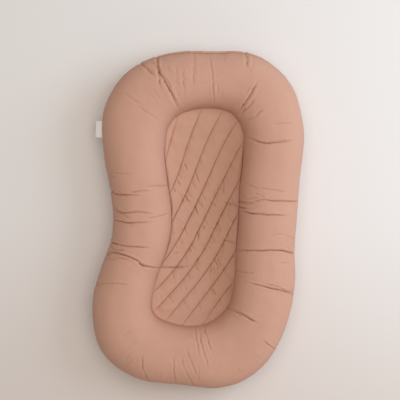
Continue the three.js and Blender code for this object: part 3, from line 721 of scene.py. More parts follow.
cover_cotton = cotton("cover_cotton", COVER_COLOUR)
ring_t = np.arange(RING_ROWS)[:, None] / RING_ROWS
top_from = angle_at_height(ring_t, seam_height(ring_t) + SEAM_GAP)
top_to = quilt_seam_angle(ring_t) + QUILT_SEAM_OVERLAP
top_angle = top_from + (top_to - top_from) * crowded(np.linspace(0, 1, TOP_COLUMNS), TOP_CROWDING)
top_points = roll_point(np.broadcast_to(ring_t, top_angle.shape), top_angle)
top_arc = arc_lengths(top_points)
top_normals = grid_normals(top_points, closed=True)
# Painted shade on the top: along both seams and in the folds, and the same on the turned-under edges.
top_relief, top_painted_shade = roll_relief(top_points, ring_t, top_arc, top_arc[:, -1:] - top_arc)
top_points = top_points + top_normals * top_relief[..., None]
outer_turn = top_points[:, :1] - top_normals[:, :1] * SEAM_ALLOWANCE
inner_turn = top_points[:, -1:] - top_normals[:, -1:] * SEAM_ALLOWANCE
inner_turn[..., 2] -= SEAM_ALLOWANCE / 2
top_points = np.concatenate([outer_turn, top_points, inner_turn], 1)
top_painted_shade = np.pad(top_painted_shade, ((0, 0), (1, 1)), mode="edge")
cover_top = grid_piece("cover_top", top_points, cover_cotton, closed=True, painted_shade_mask=top_painted_shade)
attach(cover_top, "root")
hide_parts("cover_bolster_top")

# THE BASE PANELS. The cover's underside is two panels of the same cotton. Each runs from the perimeter
# seam under the roll, lies flat on the floor, and rises a little to the zip, where it is folded back as
# a hem and sewn down.
BASE_LIFT = 0.010
SLOT_HALF_WIDTH = 0.0071
SLOT_HALF_LENGTH = 0.2001
SLOT_TAPER = 0.009
EDGE_CLEARANCE = 0.00006
COVER_THICKNESS = 0.0012
HEM_WIDTH = 0.007
HEAD_LIP = 0.0022
HEAD_LIP_SPREAD = 0.07
HEAD_LIP_DROP = 0.006
HEAD_LIP_WIDTH = 0.005
RAMP_CRUMPLES = (0.0007, 0.03, 0.09, 20, 31)
RAMP_CRUMPLE_LIMIT = 0.0006
RAMP_CRUMPLE_START = 4
PANEL_ROWS = 1100
WALL_COLUMNS = 46
WALL_CROWDING = 0.5
FLAT_COLUMNS = 10
RAMP_COLUMNS = 26
RAMP_CROWDING = 1.3
TOPSTITCH_INSETS = (0.0022, 0.0058)


def slot_edge(y):
    """Half the width of the zip's slot at y: full along the zip, easing shut past its ends."""
    return SLOT_HALF_WIDTH * smooth_step((SLOT_HALF_LENGTH + SLOT_TAPER - np.abs(y)) / SLOT_TAPER)


def base_panel(name, side, first, last):
    """One panel as a grid: down the roll's outer wall with its relief, straight across the flat, up the
    ramp, and back as a hem. Gives the paths of the topstitching beside the zip."""
    t = np.linspace(first, last, PANEL_ROWS)[:, None]
    upper, flat = angle_at_height(t, seam_height(t) - SEAM_GAP), angle_at_height(t, 0.0)
    angle = upper + (flat - upper) * crowded(np.linspace(0, 1, WALL_COLUMNS), WALL_CROWDING)
    wall = roll_point(np.broadcast_to(t, angle.shape), angle)
    arc = arc_lengths(wall)
    relief, painted_shade_mask = roll_relief(wall, t, arc, None)
    relief += HEAD_LIP * nearness(t, HEAD_PLACE, HEAD_LIP_SPREAD) * bell(arc - HEAD_LIP_DROP, HEAD_LIP_WIDTH)
    normal = -grid_normals(wall)
    wall = wall + normal * relief[..., None]
    turn = wall[:, :1] - normal[:, :1] * SEAM_ALLOWANCE
    inner = roll_point(t, math.pi - flat)
    share = np.linspace(0, 1, FLAT_COLUMNS)[None, 1:, None]
    level = wall[:, -1:] * (1 - share) + inner * share
    y_edge = roll_frame(t)[0][..., 1:] / HALF_FRAME_LENGTH * (SLOT_HALF_LENGTH + SLOT_TAPER)
    x_edge = side * np.maximum(slot_edge(y_edge), EDGE_CLEARANCE)
    edge = np.concatenate([x_edge, y_edge, np.zeros_like(x_edge)], -1)

    def ramp_at(share):
        """Points between the flat, where the share is 0, and the slot's edge, where it is 1. They rise by
        the lift times the eased share, with small crumples."""
        place = inner * (1 - share) + edge * share
        rise = share[..., 0]
        crumple = swelling(place[..., :2], *RAMP_CRUMPLES) * smooth_step(rise * RAMP_CRUMPLE_START)
        place[..., 2] = BASE_LIFT * smooth_step(rise) + np.maximum(crumple, -RAMP_CRUMPLE_LIMIT)
        place[..., 2] += RAMP_CRUMPLE_LIMIT * rise
        return place

    ramp = ramp_at((1 - (1 - np.linspace(0, 1, RAMP_COLUMNS)[1:]) ** RAMP_CROWDING)[None, :, None])
    hem = np.repeat(ramp[:, -1:], 2, 1)
    hem[..., 2] += COVER_THICKNESS
    hem[:, 1, 0] += side * HEM_WIDTH
    points = np.concatenate([turn, wall, level, ramp, hem], 1)
    # Painted shade: full on the turned-under allowance, and along the perimeter seam and in the folds of the
    # wall.
    painted_shade = np.zeros(points.shape[:2])
    painted_shade[:, :1], painted_shade[:, 1 : 1 + WALL_COLUMNS] = 1, painted_shade_mask
    piece = grid_piece(name + "_cloth", points[:, ::-1], cover_cotton, painted_shade_mask=painted_shade[:, ::-1])
    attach(piece, "root")
    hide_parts(name)
    beside_zip = np.abs(y_edge[:, 0, 0]) < SLOT_HALF_LENGTH
    breadth = np.linalg.norm(edge - inner, axis=-1, keepdims=True)
    return [ramp_at(1 - inset / breadth)[beside_zip, 0] for inset in TOPSTITCH_INSETS]


topstitching = base_panel("cover_base_left", -1, HEAD_PLACE, FOOT_PLACE)
topstitching += base_panel("cover_base_right", 1, FOOT_PLACE - 1, HEAD_PLACE)

# THE TOPSTITCHING. Two rows of lockstitch in spun thread, a little darker than the cloth, hold down the
# hem on each side of the zip.
THREAD_COLOUR = (0.46, 0.235, 0.165)
THREAD_ROUGHNESS = 0.6
THREAD_GRAIN = (2500, 0.00003)
THREAD_RADIUS = 0.00026
STITCH_PITCH = 0.0036
STITCH_GAP = 0.0007
STITCH_SINK = 0.0003
STITCH_RISE = 0.00035
STITCH_SIDES = 6
STITCH_PLACES = np.array([0, 0.12, 0.5, 0.88, 1])
STITCH_GIRTHS = np.array([0.2, 0.9, 1, 0.9, 0.2])


def plain(name, colour, roughness, grain, metallic=0.0):
    """One even colour, with noise of a scale and a depth as the grain in its relief."""
    finish = Finish(name)
    scale, depth = grain
    rough = finish.noise(finish.node("ShaderNodeTexCoord", outputs=(OBJECT_OUTPUT,)), scale, 2)
    inputs = {"Base Color": (*colour, 1), "Roughness": roughness, "Metallic": metallic}
    return finish.ended({**inputs, "Normal": finish.relief(rough * depth, 1)})


def stitch_lines(name, paths, facing=1):
    """Rows of stitches along paths on the cloth. Each one is a thin rod of thread that comes up at one end
    and goes down at the other, by half a sine wave. Facing is 1 on an upper side and -1 on an underside."""
    wave = np.sin(math.pi * STITCH_PLACES)
    arch = STITCH_RISE * wave - STITCH_SINK * (1 - wave)
    girth = THREAD_RADIUS * STITCH_GIRTHS[:, None, None]
    turn = 2 * math.pi * np.arange(STITCH_SIDES)[:, None] / STITCH_SIDES
    rods = []
    for path in paths:
        travel = arc_lengths(path[None])[0]
        start = np.arange(STITCH_PITCH, travel[-1] - 2 * STITCH_PITCH, STITCH_PITCH)
        place = start[:, None] + (STITCH_PITCH - STITCH_GAP) * STITCH_PLACES
        centre = np.stack([np.interp(place, travel, path[:, axis]) for axis in range(3)], -1)
        heading = centre[:, -1:, :2] - centre[:, :1, :2]
        side = np.stack([-heading[..., 1], heading[..., 0], 0 * heading[..., 0]], -1)
        side /= np.linalg.norm(side, axis=-1, keepdims=True)
        centre[..., 2] += facing * arch
        ring = np.cos(turn) * side[:, :, None] + np.sin(turn) * np.array([0, 0, 1])
        rods.append(centre[:, :, None] + girth * ring)
    points = np.concatenate(rods)
    index = np.arange(points[..., 0].size).reshape(points.shape[:3])
    beside = np.roll(index, -1, 2)
    quads = np.stack([beside[:, :-1], beside[:, 1:], index[:, 1:], index[:, :-1]], -1)
    piece = quad_piece(name, points.reshape(-1, 3), quads.reshape(-1, 4), sewing_thread)
    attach(piece, "root")


sewing_thread = plain("sewing_thread", THREAD_COLOUR, THREAD_ROUGHNESS, THREAD_GRAIN)
stitch_lines("zip_topstitching", topstitching, facing=-1)

# THE QUILT. A face of the same cotton lies over wadding and is sewn through to a lining along slanting
# lines, so each channel between two lines is puffed. It hangs from the roll like a hammock, and sags.
QUILT_COLOUR = (0.573, 0.331, 0.24)
OUTLINE_POINTS = 900


def well_outline(inset):
    """The seam round the well in plan, moved under the roll by an inset."""
    t = np.linspace(0, 1, OUTLINE_POINTS, endpoint=False)
    return roll_point(t, quilt_seam_angle(t, inset), inset)[:, :2]


quilt_outline = well_outline(0.0)
well_centre = quilt_outline.mean(0)


def rim_towards(plan):
    """How far each place lies from the well's centre, how far the quilt seam lies that way, and how
    squarely the seam crosses that way: the seam's reach over its length along and across that way."""
    spoke, rim = plan - well_centre, quilt_outline - well_centre
    rim = rim[np.argsort(np.arctan2(rim[:, 1], rim[:, 0]))]
    rim = np.vstack([rim[-2:], rim, rim[:2]])
    turn, reach = np.unwrap(np.arctan2(rim[:, 1], rim[:, 0])), np.linalg.norm(rim, axis=1)
    square = reach / np.hypot(reach, np.gradient(reach, turn))
    bearing = np.arctan2(spoke[..., 1], spoke[..., 0])
    there = [np.interp(bearing, turn[2:-2], row[2:-2], period=2 * math.pi) for row in (reach, square)]
    return np.linalg.norm(spoke, axis=-1), *there


def outward_share(plan):
    """How far out a place lies in the well, from 0 at its centre to 1 at the quilt seam: its distance from
    the centre over the seam's."""
    length, reach, _ = rim_towards(plan)
    return length / reach


def seam_distance(plan):
    """How far every place near the quilt seam lies from it: the gap towards it, times how squarely the
    seam crosses."""
    length, reach, square = rim_towards(plan)
    return np.abs(reach - length) * square


# The bed sags from the seam to the middle of the well, with a hollow where the filling is thin.
QUILT_SAG = 0.023
QUILT_DISH_SHARE = 3
QUILT_EDGE_FADE_SHARE = 0.12
HOLLOW_PIXEL = (226, 292)
HOLLOW_REACH = 0.035
HOLLOW_DEPTH = 0.006


def dish_height(plan):
    """The sagging bed: the seam's height less a sag that fades with the cube of the way out, and less a
    bell at the hollow."""
    share = np.minimum(outward_share(plan), 1)
    hollow = bell(np.linalg.norm(plan - from_photo(HOLLOW_PIXEL), axis=-1), HOLLOW_REACH)
    hollow *= HOLLOW_DEPTH * smooth_step((1 - share) / QUILT_EDGE_FADE_SHARE)
    return quilt_rim_height(plan[..., 1]) - QUILT_SAG * (1 - share**QUILT_DISH_SHARE) - hollow


# The stitch lines slant down to the left, bend below the waist, and fan out towards both ends. Every
# place has a channel number, which is whole on a stitch line.
STITCH_SPACING = 0.033
STITCH_START = 0.015
STITCH_UPPER_SLOPE_SHARE = 0.416
STITCH_LOWER_SLOPE_SHARE = 0.877
STITCH_BEND_START = -0.038
STITCH_BEND_LENGTH = 0.127
STITCH_HEAD_BEND_START = 0.13
STITCH_HEAD_BEND = 1.6
STITCH_FAN_CENTRE = 0.014
STITCH_FAN_LENGTH = 0.240
STITCH_FAN_SHARE = 0.26
STITCH_HEAD_FAN_SHARE = 0.46
CHANNEL_CROWDING = 0.62
CHANNEL_CLEARANCE = 0.004
LEAST_CLIMB = 1e-9


def stitch_fan(y):
    """The spacing of the stitch lines, which widens with the square of the way to either end."""
    share = np.where(np.asarray(y) > STITCH_FAN_CENTRE, STITCH_HEAD_FAN_SHARE, STITCH_FAN_SHARE)
    return STITCH_SPACING * (1 + share * ((y - STITCH_FAN_CENTRE) / STITCH_FAN_LENGTH) ** 2)


def stitch_offset(y):
    """Where a stitch line has got to at y: one slope above the waist, a smooth bend to another below it,
    and a lean that grows with the square of the way into the head end."""
    below = np.maximum(0, STITCH_BEND_START - y)
    curved = np.minimum(below, STITCH_BEND_LENGTH)
    bend = curved * (below - curved / 2) / STITCH_BEND_LENGTH
    lean = STITCH_HEAD_BEND * np.maximum(0, y - STITCH_HEAD_BEND_START) ** 2
    return STITCH_UPPER_SLOPE_SHARE * y - (STITCH_LOWER_SLOPE_SHARE - STITCH_UPPER_SLOPE_SHARE) * bend + lean


def channel_at(plan):
    """The number of the channel at a place: how far across it lies from the first line, in spacings."""
    return (plan[..., 0] - STITCH_START - stitch_offset(plan[..., 1])) / stitch_fan(plan[..., 1])


def channel_x(channel, y):
    """Where a stitch line lies across the quilt at y: the channel's number times the spacing, and the
    line's own offset."""
    return STITCH_START + channel * stitch_fan(y) + stitch_offset(y)


def line_ends(outline, channel):
    """The low and the high end, on an outline, of lines with these channel numbers: where either half of
    the outline, from its lowest number to its highest, reaches each of them."""
    number = channel_at(outline)
    first, last = number.argmin(), number.argmax()
    turned = np.roll(outline, -first, 0)
    split = (last - first) % len(outline)
    ends = []
    for chain in (turned[: split + 1], np.vstack([turned[split:], turned[:1]])[::-1]):
        climbing = np.maximum.accumulate(channel_at(chain) + LEAST_CLIMB * np.arange(len(chain)))
        ends.append(np.stack([np.interp(channel, climbing, chain[:, axis]) for axis in (0, 1)], -1))
    return ends


def channel_grid(outline, columns, rows):
    """A grid over an outline whose columns follow the stitch lines and crowd towards them, and its
    channels. Each column runs from its low end to its high end, eased onto both."""
    number = channel_at(outline)
    even = np.arange(math.ceil(number.min() * columns), number.max() * columns) / columns
    channel = crowded(even, CHANNEL_CROWDING)
    held_in = (channel > number.min() + CHANNEL_CLEARANCE) & (channel < number.max() - CHANNEL_CLEARANCE)
    channel = channel[held_in]
    low, high = line_ends(outline, channel)
    share = np.linspace(0, 1, rows)
    y = low[:, 1:] + (high[:, 1:] - low[:, 1:]) * share
    x = channel_x(channel[:, None], y)
    x += (low[:, :1] - x[:, :1]) * (1 - share) + (high[:, :1] - x[:, -1:]) * share
    return np.stack([x, y], -1), np.broadcast_to(channel[:, None], x.shape)


# Puckers leave the stitch lines where they draw the cotton in. Most of them fall away to the lower right
# of their line and some climb to its upper left, and they are thickest below the middle of the quilt.
PUCKER_SEED = 23
PUCKER_CHANNELS = range(-7, 8)
PUCKER_START = -0.22
PUCKER_START_SPREAD = 0.01
PUCKER_END = 0.2
PUCKER_STEP = (0.010, 0.026)
PUCKER_HEAD_END = 0.15
PUCKER_HEAD_FADE = 0.09
PUCKER_FOOT_END = -0.2
PUCKER_FOOT_FADE = 0.08
PUCKER_FOOT_SHARE = 0.35
PUCKER_FALLING_SHARE = 0.72
PUCKER_BEARING = (-86, -38)
PUCKER_LENGTH = (0.012, 0.028)
PUCKER_BEND_SHARE = 0.2
PUCKER_BACK_SHARE = 0.3
PUCKER_REACH_SHARE = 0.96
PUCKER_CHANCE = 0.25
PUCKER_DEPTH = (0.4, 1.5)
PUCKER_DEPTH_SHARE = 0.3
PUCKER_WIDTH = (1.2, 2.2)


def puckers(seed):
    """Random puckers along the stitch lines: each one a bent path that starts a little before its line and
    runs across it, deeper and likelier where the cloth is drawn in harder."""
    random = np.random.default_rng(seed)
    found = []
    for channel in PUCKER_CHANNELS:
        y = PUCKER_START + random.uniform(0, PUCKER_START_SPREAD)
        while y < PUCKER_END:
            drawn_in = smooth_step((y - PUCKER_FOOT_END) / PUCKER_FOOT_FADE)
            drawn_in = PUCKER_FOOT_SHARE + (1 - PUCKER_FOOT_SHARE) * drawn_in
            drawn_in *= smooth_step((PUCKER_HEAD_END - y) / PUCKER_HEAD_FADE)
            start = np.array([channel_x(channel, y), y])
            side = 1 if random.random() < PUCKER_FALLING_SHARE else -1
            bearing = math.radians(random.uniform(*PUCKER_BEARING))
            length = random.uniform(*PUCKER_LENGTH)
            step = side * length / 2 * np.array([math.cos(bearing), math.sin(bearing)])
            bend = side * length * PUCKER_BEND_SHARE * np.array([-math.sin(bearing), math.cos(bearing)])
            bend *= random.uniform(-1, 1)
            chance = PUCKER_CHANCE + (1 - PUCKER_CHANCE) * drawn_in
            if outward_share(start) < PUCKER_REACH_SHARE and random.random() < chance:
                depth = random.uniform(*PUCKER_DEPTH)
                depth *= PUCKER_DEPTH_SHARE + (1 - PUCKER_DEPTH_SHARE) * drawn_in
                places = [start - PUCKER_BACK_SHARE * step, start + step + bend, start + 2 * step]
                found.append((depth, random.uniform(*PUCKER_WIDTH), places))
            y += random.uniform(*PUCKER_STEP)
    return found


# Folds of the quilt that show, as those of the roll, and then puckers that show, between two or three of
# the photograph's pixels each.
QUILT_FOLD_PIXELS = [
    (2.6, 1.5, [(154, 266.4), (166, 268), (178, 268), (192, 267)]),
    (1.8, 1.4, [(222, 202), (232, 204), (246, 208.6)]),
    (1.6, 1.4, [(220, 240), (230, 241.6), (241, 245)]),
]
SEEN_PUCKER_DEPTH = 1.9
SEEN_PUCKER_WIDTH = 1.4
PUCKER_PIXELS = [
    [(172.2, 187.8), (176.1, 191.7)],
    [(184.4, 194.4), (187.8, 200), (191.7, 202.8)],
    [(197.2, 201.7), (202.2, 207.2)],
    [(212.2, 203.3), (216.7, 206.1)],
    [(226.7, 204.4), (230.6, 207.2)],
    [(183.3, 162.2), (187.8, 171.1)],
    [(194.4, 171.1), (199.4, 183.3)],
    [(223.3, 177.8), (224.2, 195.6)],
    [(221.1, 186.7), (222.2, 192.2)],
    [(175.6, 180), (181.1, 185.6)],
    [(194.4, 206.7), (197.8, 216.7)],
    [(203.3, 226.7), (204.4, 230)],
    [(188.9, 250), (190.6, 252.2)],
    [(207.8, 247.8), (211.7, 250)],
    [(210, 242.2), (213.3, 243.3)],
    [(214.4, 258.9), (216.7, 264.4), (218.3, 272.2)],
    [(210, 266.7), (212.2, 275.6)],
    [(216.7, 256.7), (221.7, 268.9)],
    [(196.7, 233.3), (198.9, 238.9)],
    [(172.2, 254.4), (179.4, 253.3)],
    [(170.6, 230), (173.9, 235.6)],
    [(212.2, 288.9), (216.7, 296.7)],
]
quilt_folds = [(depth, width, from_photo(pixels)) for depth, width, pixels in QUILT_FOLD_PIXELS]
quilt_folds += puckers(PUCKER_SEED)
quilt_folds += [(SEEN_PUCKER_DEPTH, SEEN_PUCKER_WIDTH, from_photo(pixels)) for pixels in PUCKER_PIXELS]

# The face is tucked under the roll. Its height is the bed's, plus the puffs and swellings, less a groove
# along each stitch line and along the seam, which is rounded instead where it pulls less.
CHANNEL_COLUMNS = 30
QUILT_ROWS = 420
QUILT_TUCK = 0.006
TUCK_DROP = 0.003
TUCK_START_SHARE = 0.985
TUCK_REACH_SHARE = 0.05
QUILT_PUFF = 0.005
PUFF_ROUNDNESS_SHARE = 0.5
QUILT_SWELLS = (0.0009, 0.02, 0.06, 24, 41)
LINE_PULL_SHARE = 0.5
LINE_PULL_PLACE = -0.03
LINE_PULL_REACH = 0.11
LINE_PULL_SWELLS = (0.3, 0.012, 0.04, 12, 47)
LINE_GROOVE = (0.0009, 0.0012)
# Painted shade along the stitch lines, the seam and the folds: shares and widths.
LINE_SHADE_SHARE = 0.95
LINE_SHADE_WIDTH = 0.0009
QUILT_SEAM_GROOVE = (0.0026, 0.0025)
QUILT_SEAM_SHADE_WIDTH = 0.0022
QUILT_SEAM_FILLET = 0.004
QUILT_SEAM_FILLET_WIDTH = 0.007
QUILT_FOLD_SHADE_SHARE = 0.8

quilt_cotton = cotton("quilt_cotton", QUILT_COLOUR)
quilt_plan, quilt_channel = channel_grid(well_outline(QUILT_TUCK), CHANNEL_COLUMNS, QUILT_ROWS)
quilt_share = outward_share(quilt_plan)
inside = smooth_step((1 - quilt_share) / QUILT_EDGE_FADE_SHARE)
from_seam = seam_distance(quilt_plan)
seam_pull = seam_tightness(quilt_plan)
from_line = np.abs(quilt_channel - np.round(quilt_channel)) * stitch_fan(quilt_plan[..., 1])
line_pull = bell(quilt_plan[..., 1] - LINE_PULL_PLACE, LINE_PULL_REACH)
line_pull = LINE_PULL_SHARE + (1 - LINE_PULL_SHARE) * line_pull
line_pull *= 1 + swelling(quilt_plan, *LINE_PULL_SWELLS)
relief = QUILT_PUFF * np.abs(np.sin(math.pi * quilt_channel)) ** PUFF_ROUNDNESS_SHARE
relief += swelling(quilt_plan, *QUILT_SWELLS) - line_pull * dying_away(from_line, *LINE_GROOVE)
fold_height, quilt_painted_shade = fold_relief(quilt_plan, quilt_folds)
quilt_height = dish_height(quilt_plan) + inside * (relief + fold_height)
quilt_height -= TUCK_DROP * smooth_step((quilt_share - TUCK_START_SHARE) / TUCK_REACH_SHARE)
quilt_height -= seam_pull * dying_away(from_seam, *QUILT_SEAM_GROOVE)
quilt_height += QUILT_SEAM_FILLET * (1 - seam_pull) * bell(from_seam, QUILT_SEAM_FILLET_WIDTH)
# Painted shade on the quilt: in its folds and puckers, along the seam as hard as it pulls, and along every
# stitch line.
quilt_painted_shade = QUILT_FOLD_SHADE_SHARE * quilt_painted_shade + seam_pull * bell(from_seam, QUILT_SEAM_SHADE_WIDTH)
quilt_painted_shade += LINE_SHADE_SHARE * line_pull * bell(from_line, LINE_SHADE_WIDTH)
quilt_painted_shade = np.clip(quilt_painted_shade, 0, 1)
quilt_points = np.concatenate([quilt_plan, quilt_height[..., None]], -1)
quilt_top = grid_piece("quilt_top", quilt_points, quilt_cotton, cloth=quilt_plan, painted_shade_mask=quilt_painted_shade)
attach(quilt_top, "root")
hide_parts("quilt_face")

# THE QUILTING STITCHES. They run along every stitch line on the quilt's face, in the same thread, and go
# through the wadding and the lining.
ON_LINE_TOLERANCE = 1e-6
on_line = np.isclose(quilt_channel[:, 0], np.round(quilt_channel[:, 0]), atol=ON_LINE_TOLERANCE)
stitch_lines("quilting_stitches", quilt_points[on_line])

# THE LAYERS UNDER THE QUILT'S FACE. Bonded wadding and a thin cotton lining are quilted to it, and the
# sling that spans the insert lies under those. All three are hidden inside the cover, so they are
# plain layers laid in the same dish.
LINING_COLOUR = (0.82, 0.75, 0.68)
WADDING_COLOUR = (0.9, 0.87, 0.82)
WADDING_ROUGHNESS = 0.95
WADDING_GRAIN = (400, 0.0006)
THIN_COTTON_ROUGHNESS = 0.9
THIN_COTTON_GRAIN = (900, 0.0002)
WADDING_DEPTH = 0.0035
LINING_DEPTH = 0.0055
SLING_DEPTH = 0.008
LAYER_MARGIN = 0.006
LAYER_COLUMNS = 4
LAYER_ROWS = 40

lining_cotton = plain("lining_cotton", LINING_COLOUR, THIN_COTTON_ROUGHNESS, THIN_COTTON_GRAIN)
wadding_fibre = plain("wadding_fibre", WADDING_COLOUR, WADDING_ROUGHNESS, WADDING_GRAIN)


def laid_layer(name, depth, material):
    """A thin layer in the quilt's dish: the dish's height less a depth."""
    plan, _ = channel_grid(well_outline(-LAYER_MARGIN), LAYER_COLUMNS, LAYER_ROWS)
    points = np.concatenate([plan, (dish_height(plan) - depth)[..., None]], -1)
    piece = grid_piece(name + "_cloth", points, material, cloth=plan)
    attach(piece, "root")
    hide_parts(name)
    return piece


wadding = laid_layer("quilt_wadding", WADDING_DEPTH, wadding_fibre)
lining = laid_layer("quilt_lining", LINING_DEPTH, lining_cotton)
sling = laid_layer("insert_sling", SLING_DEPTH, lining_cotton)

# THE INSERT. Loose fibre fills a casing of thin unbleached cotton, whose two halves are sewn together
# along the seams of the cover. The cover's folds press into it, so it lies a little way in.
CASING_COLOUR = (0.86, 0.82, 0.75)
FILL_COLOUR = (0.93, 0.91, 0.87)
FILL_ROUGHNESS = 0.98
FILL_GRAIN = (300, 0.001)
CASING_INSET = 0.0115
FILL_INSET = 0.0145
INSERT_ROWS = 300
CASING_TOP_COLUMNS = 30
CASING_BOTTOM_COLUMNS = 40
FILL_COLUMNS = 49

casing_cotton = plain("casing_cotton", CASING_COLOUR, THIN_COTTON_ROUGHNESS, THIN_COTTON_GRAIN)
fill_fibre = plain("fill_fibre", FILL_COLOUR, FILL_ROUGHNESS, FILL_GRAIN)


def insert_ring(name, start, end, columns, inset, material, slot):
    """A ring of the insert's skin: the roll's section, moved in by an inset, between two angles at every
    place round it."""
    angle = start + (end - start) * np.linspace(0, 1, columns)
    points = roll_point(np.broadcast_to(insert_t, angle.shape), angle, inset)
    piece = grid_piece(name + "_cloth", points, material, closed=True)
    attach(piece, "root")
    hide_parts(name)


insert_t = np.arange(INSERT_ROWS)[:, None] / INSERT_ROWS
outer_seam = angle_at_height(insert_t, seam_height(insert_t), CASING_INSET)
inner_seam = quilt_seam_angle(insert_t, CASING_INSET)
full_turn = 2 * math.pi + 0 * insert_t
casing = (CASING_INSET, casing_cotton, "casing_cotton")
insert_ring("insert_casing_top", outer_seam, inner_seam, CASING_TOP_COLUMNS, *casing)
insert_ring("insert_casing_bottom", inner_seam, outer_seam + full_turn, CASING_BOTTOM_COLUMNS, *casing)
insert_ring("insert_fill_ring", 0, full_turn, FILL_COLUMNS, FILL_INSET, fill_fibre, "fill_fibre")

# THE ZIP. Two woven tapes, dyed to match, are sewn under the hems of the base panels. Moulded teeth and
# stops are on their edges, and a die-cast, enamelled slider with its pull runs on the teeth. A tab of the
# cover's cotton is sewn over either end, where the slot eases shut.
TAPE_COLOUR = (0.5, 0.275, 0.2)
TAPE_ROUGHNESS = 0.75
TAPE_RIB_PITCH = 0.0011
TAPE_RIB_DEPTH = 0.00008
TAPE_ROWS = 260
TAPE_COLUMNS = 6
TAPE_RIPPLE = 0.00012
TAPE_RIPPLE_LENGTH = 0.009
TAPE_RIPPLE_WIDTH = 0.02
FINE_RIB_SHARE = 0.4
RIB_BLOTCH_SCALE = 60
RIB_LIGHT_SHARE = 1.06
RIB_DARK_SHARE = 0.92


def ribbed(name, colour, roughness, pitch, depth):
    """A woven tape or ribbon. Its relief is a sine across it, once per pitch, plus a smaller one along it,
    twice per pitch."""
    finish = Finish(name)
    cloth = finish.node("ShaderNodeUVMap", {"uv_map": "cloth"})
    place = finish.node("ShaderNodeTexCoord", outputs=(OBJECT_OUTPUT,))
    along, across = finish.node("ShaderNodeSeparateXYZ", {}, {"Vector": cloth}, (0, 1))
    turn = 2 * math.pi / pitch
    ribs = finish.maths("SINE", along * turn) + FINE_RIB_SHARE * finish.maths("SINE", across * (2 * turn))
    dark, light = ([channel * share for channel in colour] for share in (RIB_DARK_SHARE, RIB_LIGHT_SHARE))
    tone = finish.mixed(finish.noise(place, RIB_BLOTCH_SCALE, 3), dark, light)
    bump = finish.relief(ribs * depth, CLOTH_BUMP)
    return finish.ended({"Base Color": tone, "Roughness": roughness, "Normal": bump})


tape_weave = ribbed("zip_tape", TAPE_COLOUR, TAPE_ROUGHNESS, TAPE_RIB_PITCH, TAPE_RIB_DEPTH)
for name in ("zip_tape_left", "zip_tape_right"):
    low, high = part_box(name)
    y = np.linspace(low[1], high[1], TAPE_ROWS)[:, None]
    x = np.linspace(low[0], high[0], TAPE_COLUMNS)[None, :]
    ripple = np.sin(2 * math.pi * y / TAPE_RIPPLE_LENGTH) * np.cos(2 * math.pi * x / TAPE_RIPPLE_WIDTH)
    z = (low[2] + high[2]) / 2 + TAPE_RIPPLE * ripple
    points = np.stack(np.broadcast_arrays(x, y, z), -1)
    tape = grid_piece(name + "_weave", points, tape_weave)
    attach(tape, "root")
    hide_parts(name)

TAB_WIDTH = 0.022
TAB_LENGTH = 0.017
TAB_HEAD_START = 0.1958
TAB_FOOT_START = 0.1935
TAB_HEIGHT = 0.0135
TAB_ROWS = 15
TAB_COLUMNS = 17
TAB_RIPPLE = 0.0002
TAB_RIPPLE_ACROSS = 0.002
TAB_RIPPLE_ALONG = 0.003

for end, side, start in (("head", 1, TAB_HEAD_START), ("foot", -1, TAB_FOOT_START)):
    y = side * np.linspace(start, start + TAB_LENGTH, TAB_ROWS)[:, None]
    x = np.linspace(-TAB_WIDTH / 2, TAB_WIDTH / 2, TAB_COLUMNS)[None, ::-side]
    z = TAB_HEIGHT + TAB_RIPPLE * np.sin(x / TAB_RIPPLE_ACROSS) * np.cos(y / TAB_RIPPLE_ALONG)
    points = np.stack(np.broadcast_arrays(x, y, z), -1)
    tab = grid_piece("zip_end_tab_" + end, points, cover_cotton)
    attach(tab, "root")

TEETH_COLOUR = (0.53, 0.3, 0.225)
TEETH_ROUGHNESS = 0.42
TEETH_GRAIN = (700, 0.00006)
ENAMEL_COLOUR = (0.5, 0.29, 0.22)
ENAMEL_ROUGHNESS = 0.34
ENAMEL_GRAIN = (260, 0.00005)
ENAMEL_METALLIC = 0.35


def dress(name, material):
    """Gives a solid of the frame this material."""
    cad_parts[name].material_slots[0].material = material


teeth_plastic = plain("zip_plastic", TEETH_COLOUR, TEETH_ROUGHNESS, TEETH_GRAIN)
for name in ("zip_teeth_left", "zip_teeth_right", "zip_top_stop_left", "zip_top_stop_right", "zip_bottom_stop"):
    dress(name, teeth_plastic)
slider_enamel = plain("zip_enamel", ENAMEL_COLOUR, ENAMEL_ROUGHNESS, ENAMEL_GRAIN, metallic=ENAMEL_METALLIC)
dress("zip_slider", slider_enamel)
dress("zip_pull", slider_enamel)

# THE CARE LABEL. A short length of satin ribbon is folded in half and caught in the perimeter seam on the
# left. It stands out from the seam and droops under its own weight. It is blank.
LABEL_COLOUR = (0.93, 0.92, 0.93)
LABEL_ROUGHNESS = 0.42
LABEL_RIB_PITCH = 0.0006
LABEL_RIB_DEPTH = 0.00004
LABEL_PLACE = 0.3916
LABEL_WIDTH = 0.036
LABEL_REACH = 0.0145
LABEL_TUCK = 0.004
LABEL_DROOP = 0.0075
LABEL_DROOP_SHARE = 1.6
LABEL_GAP = 0.0007
LABEL_GAP_ROUNDNESS_SHARE = 0.2
LABEL_CURL = 0.0014
LABEL_CURL_TURN = 4.2
LABEL_CURL_START = 0.6
LABEL_SLANT_SHARE = 0.05
LABEL_ROWS = 41
LABEL_COLUMNS = 19

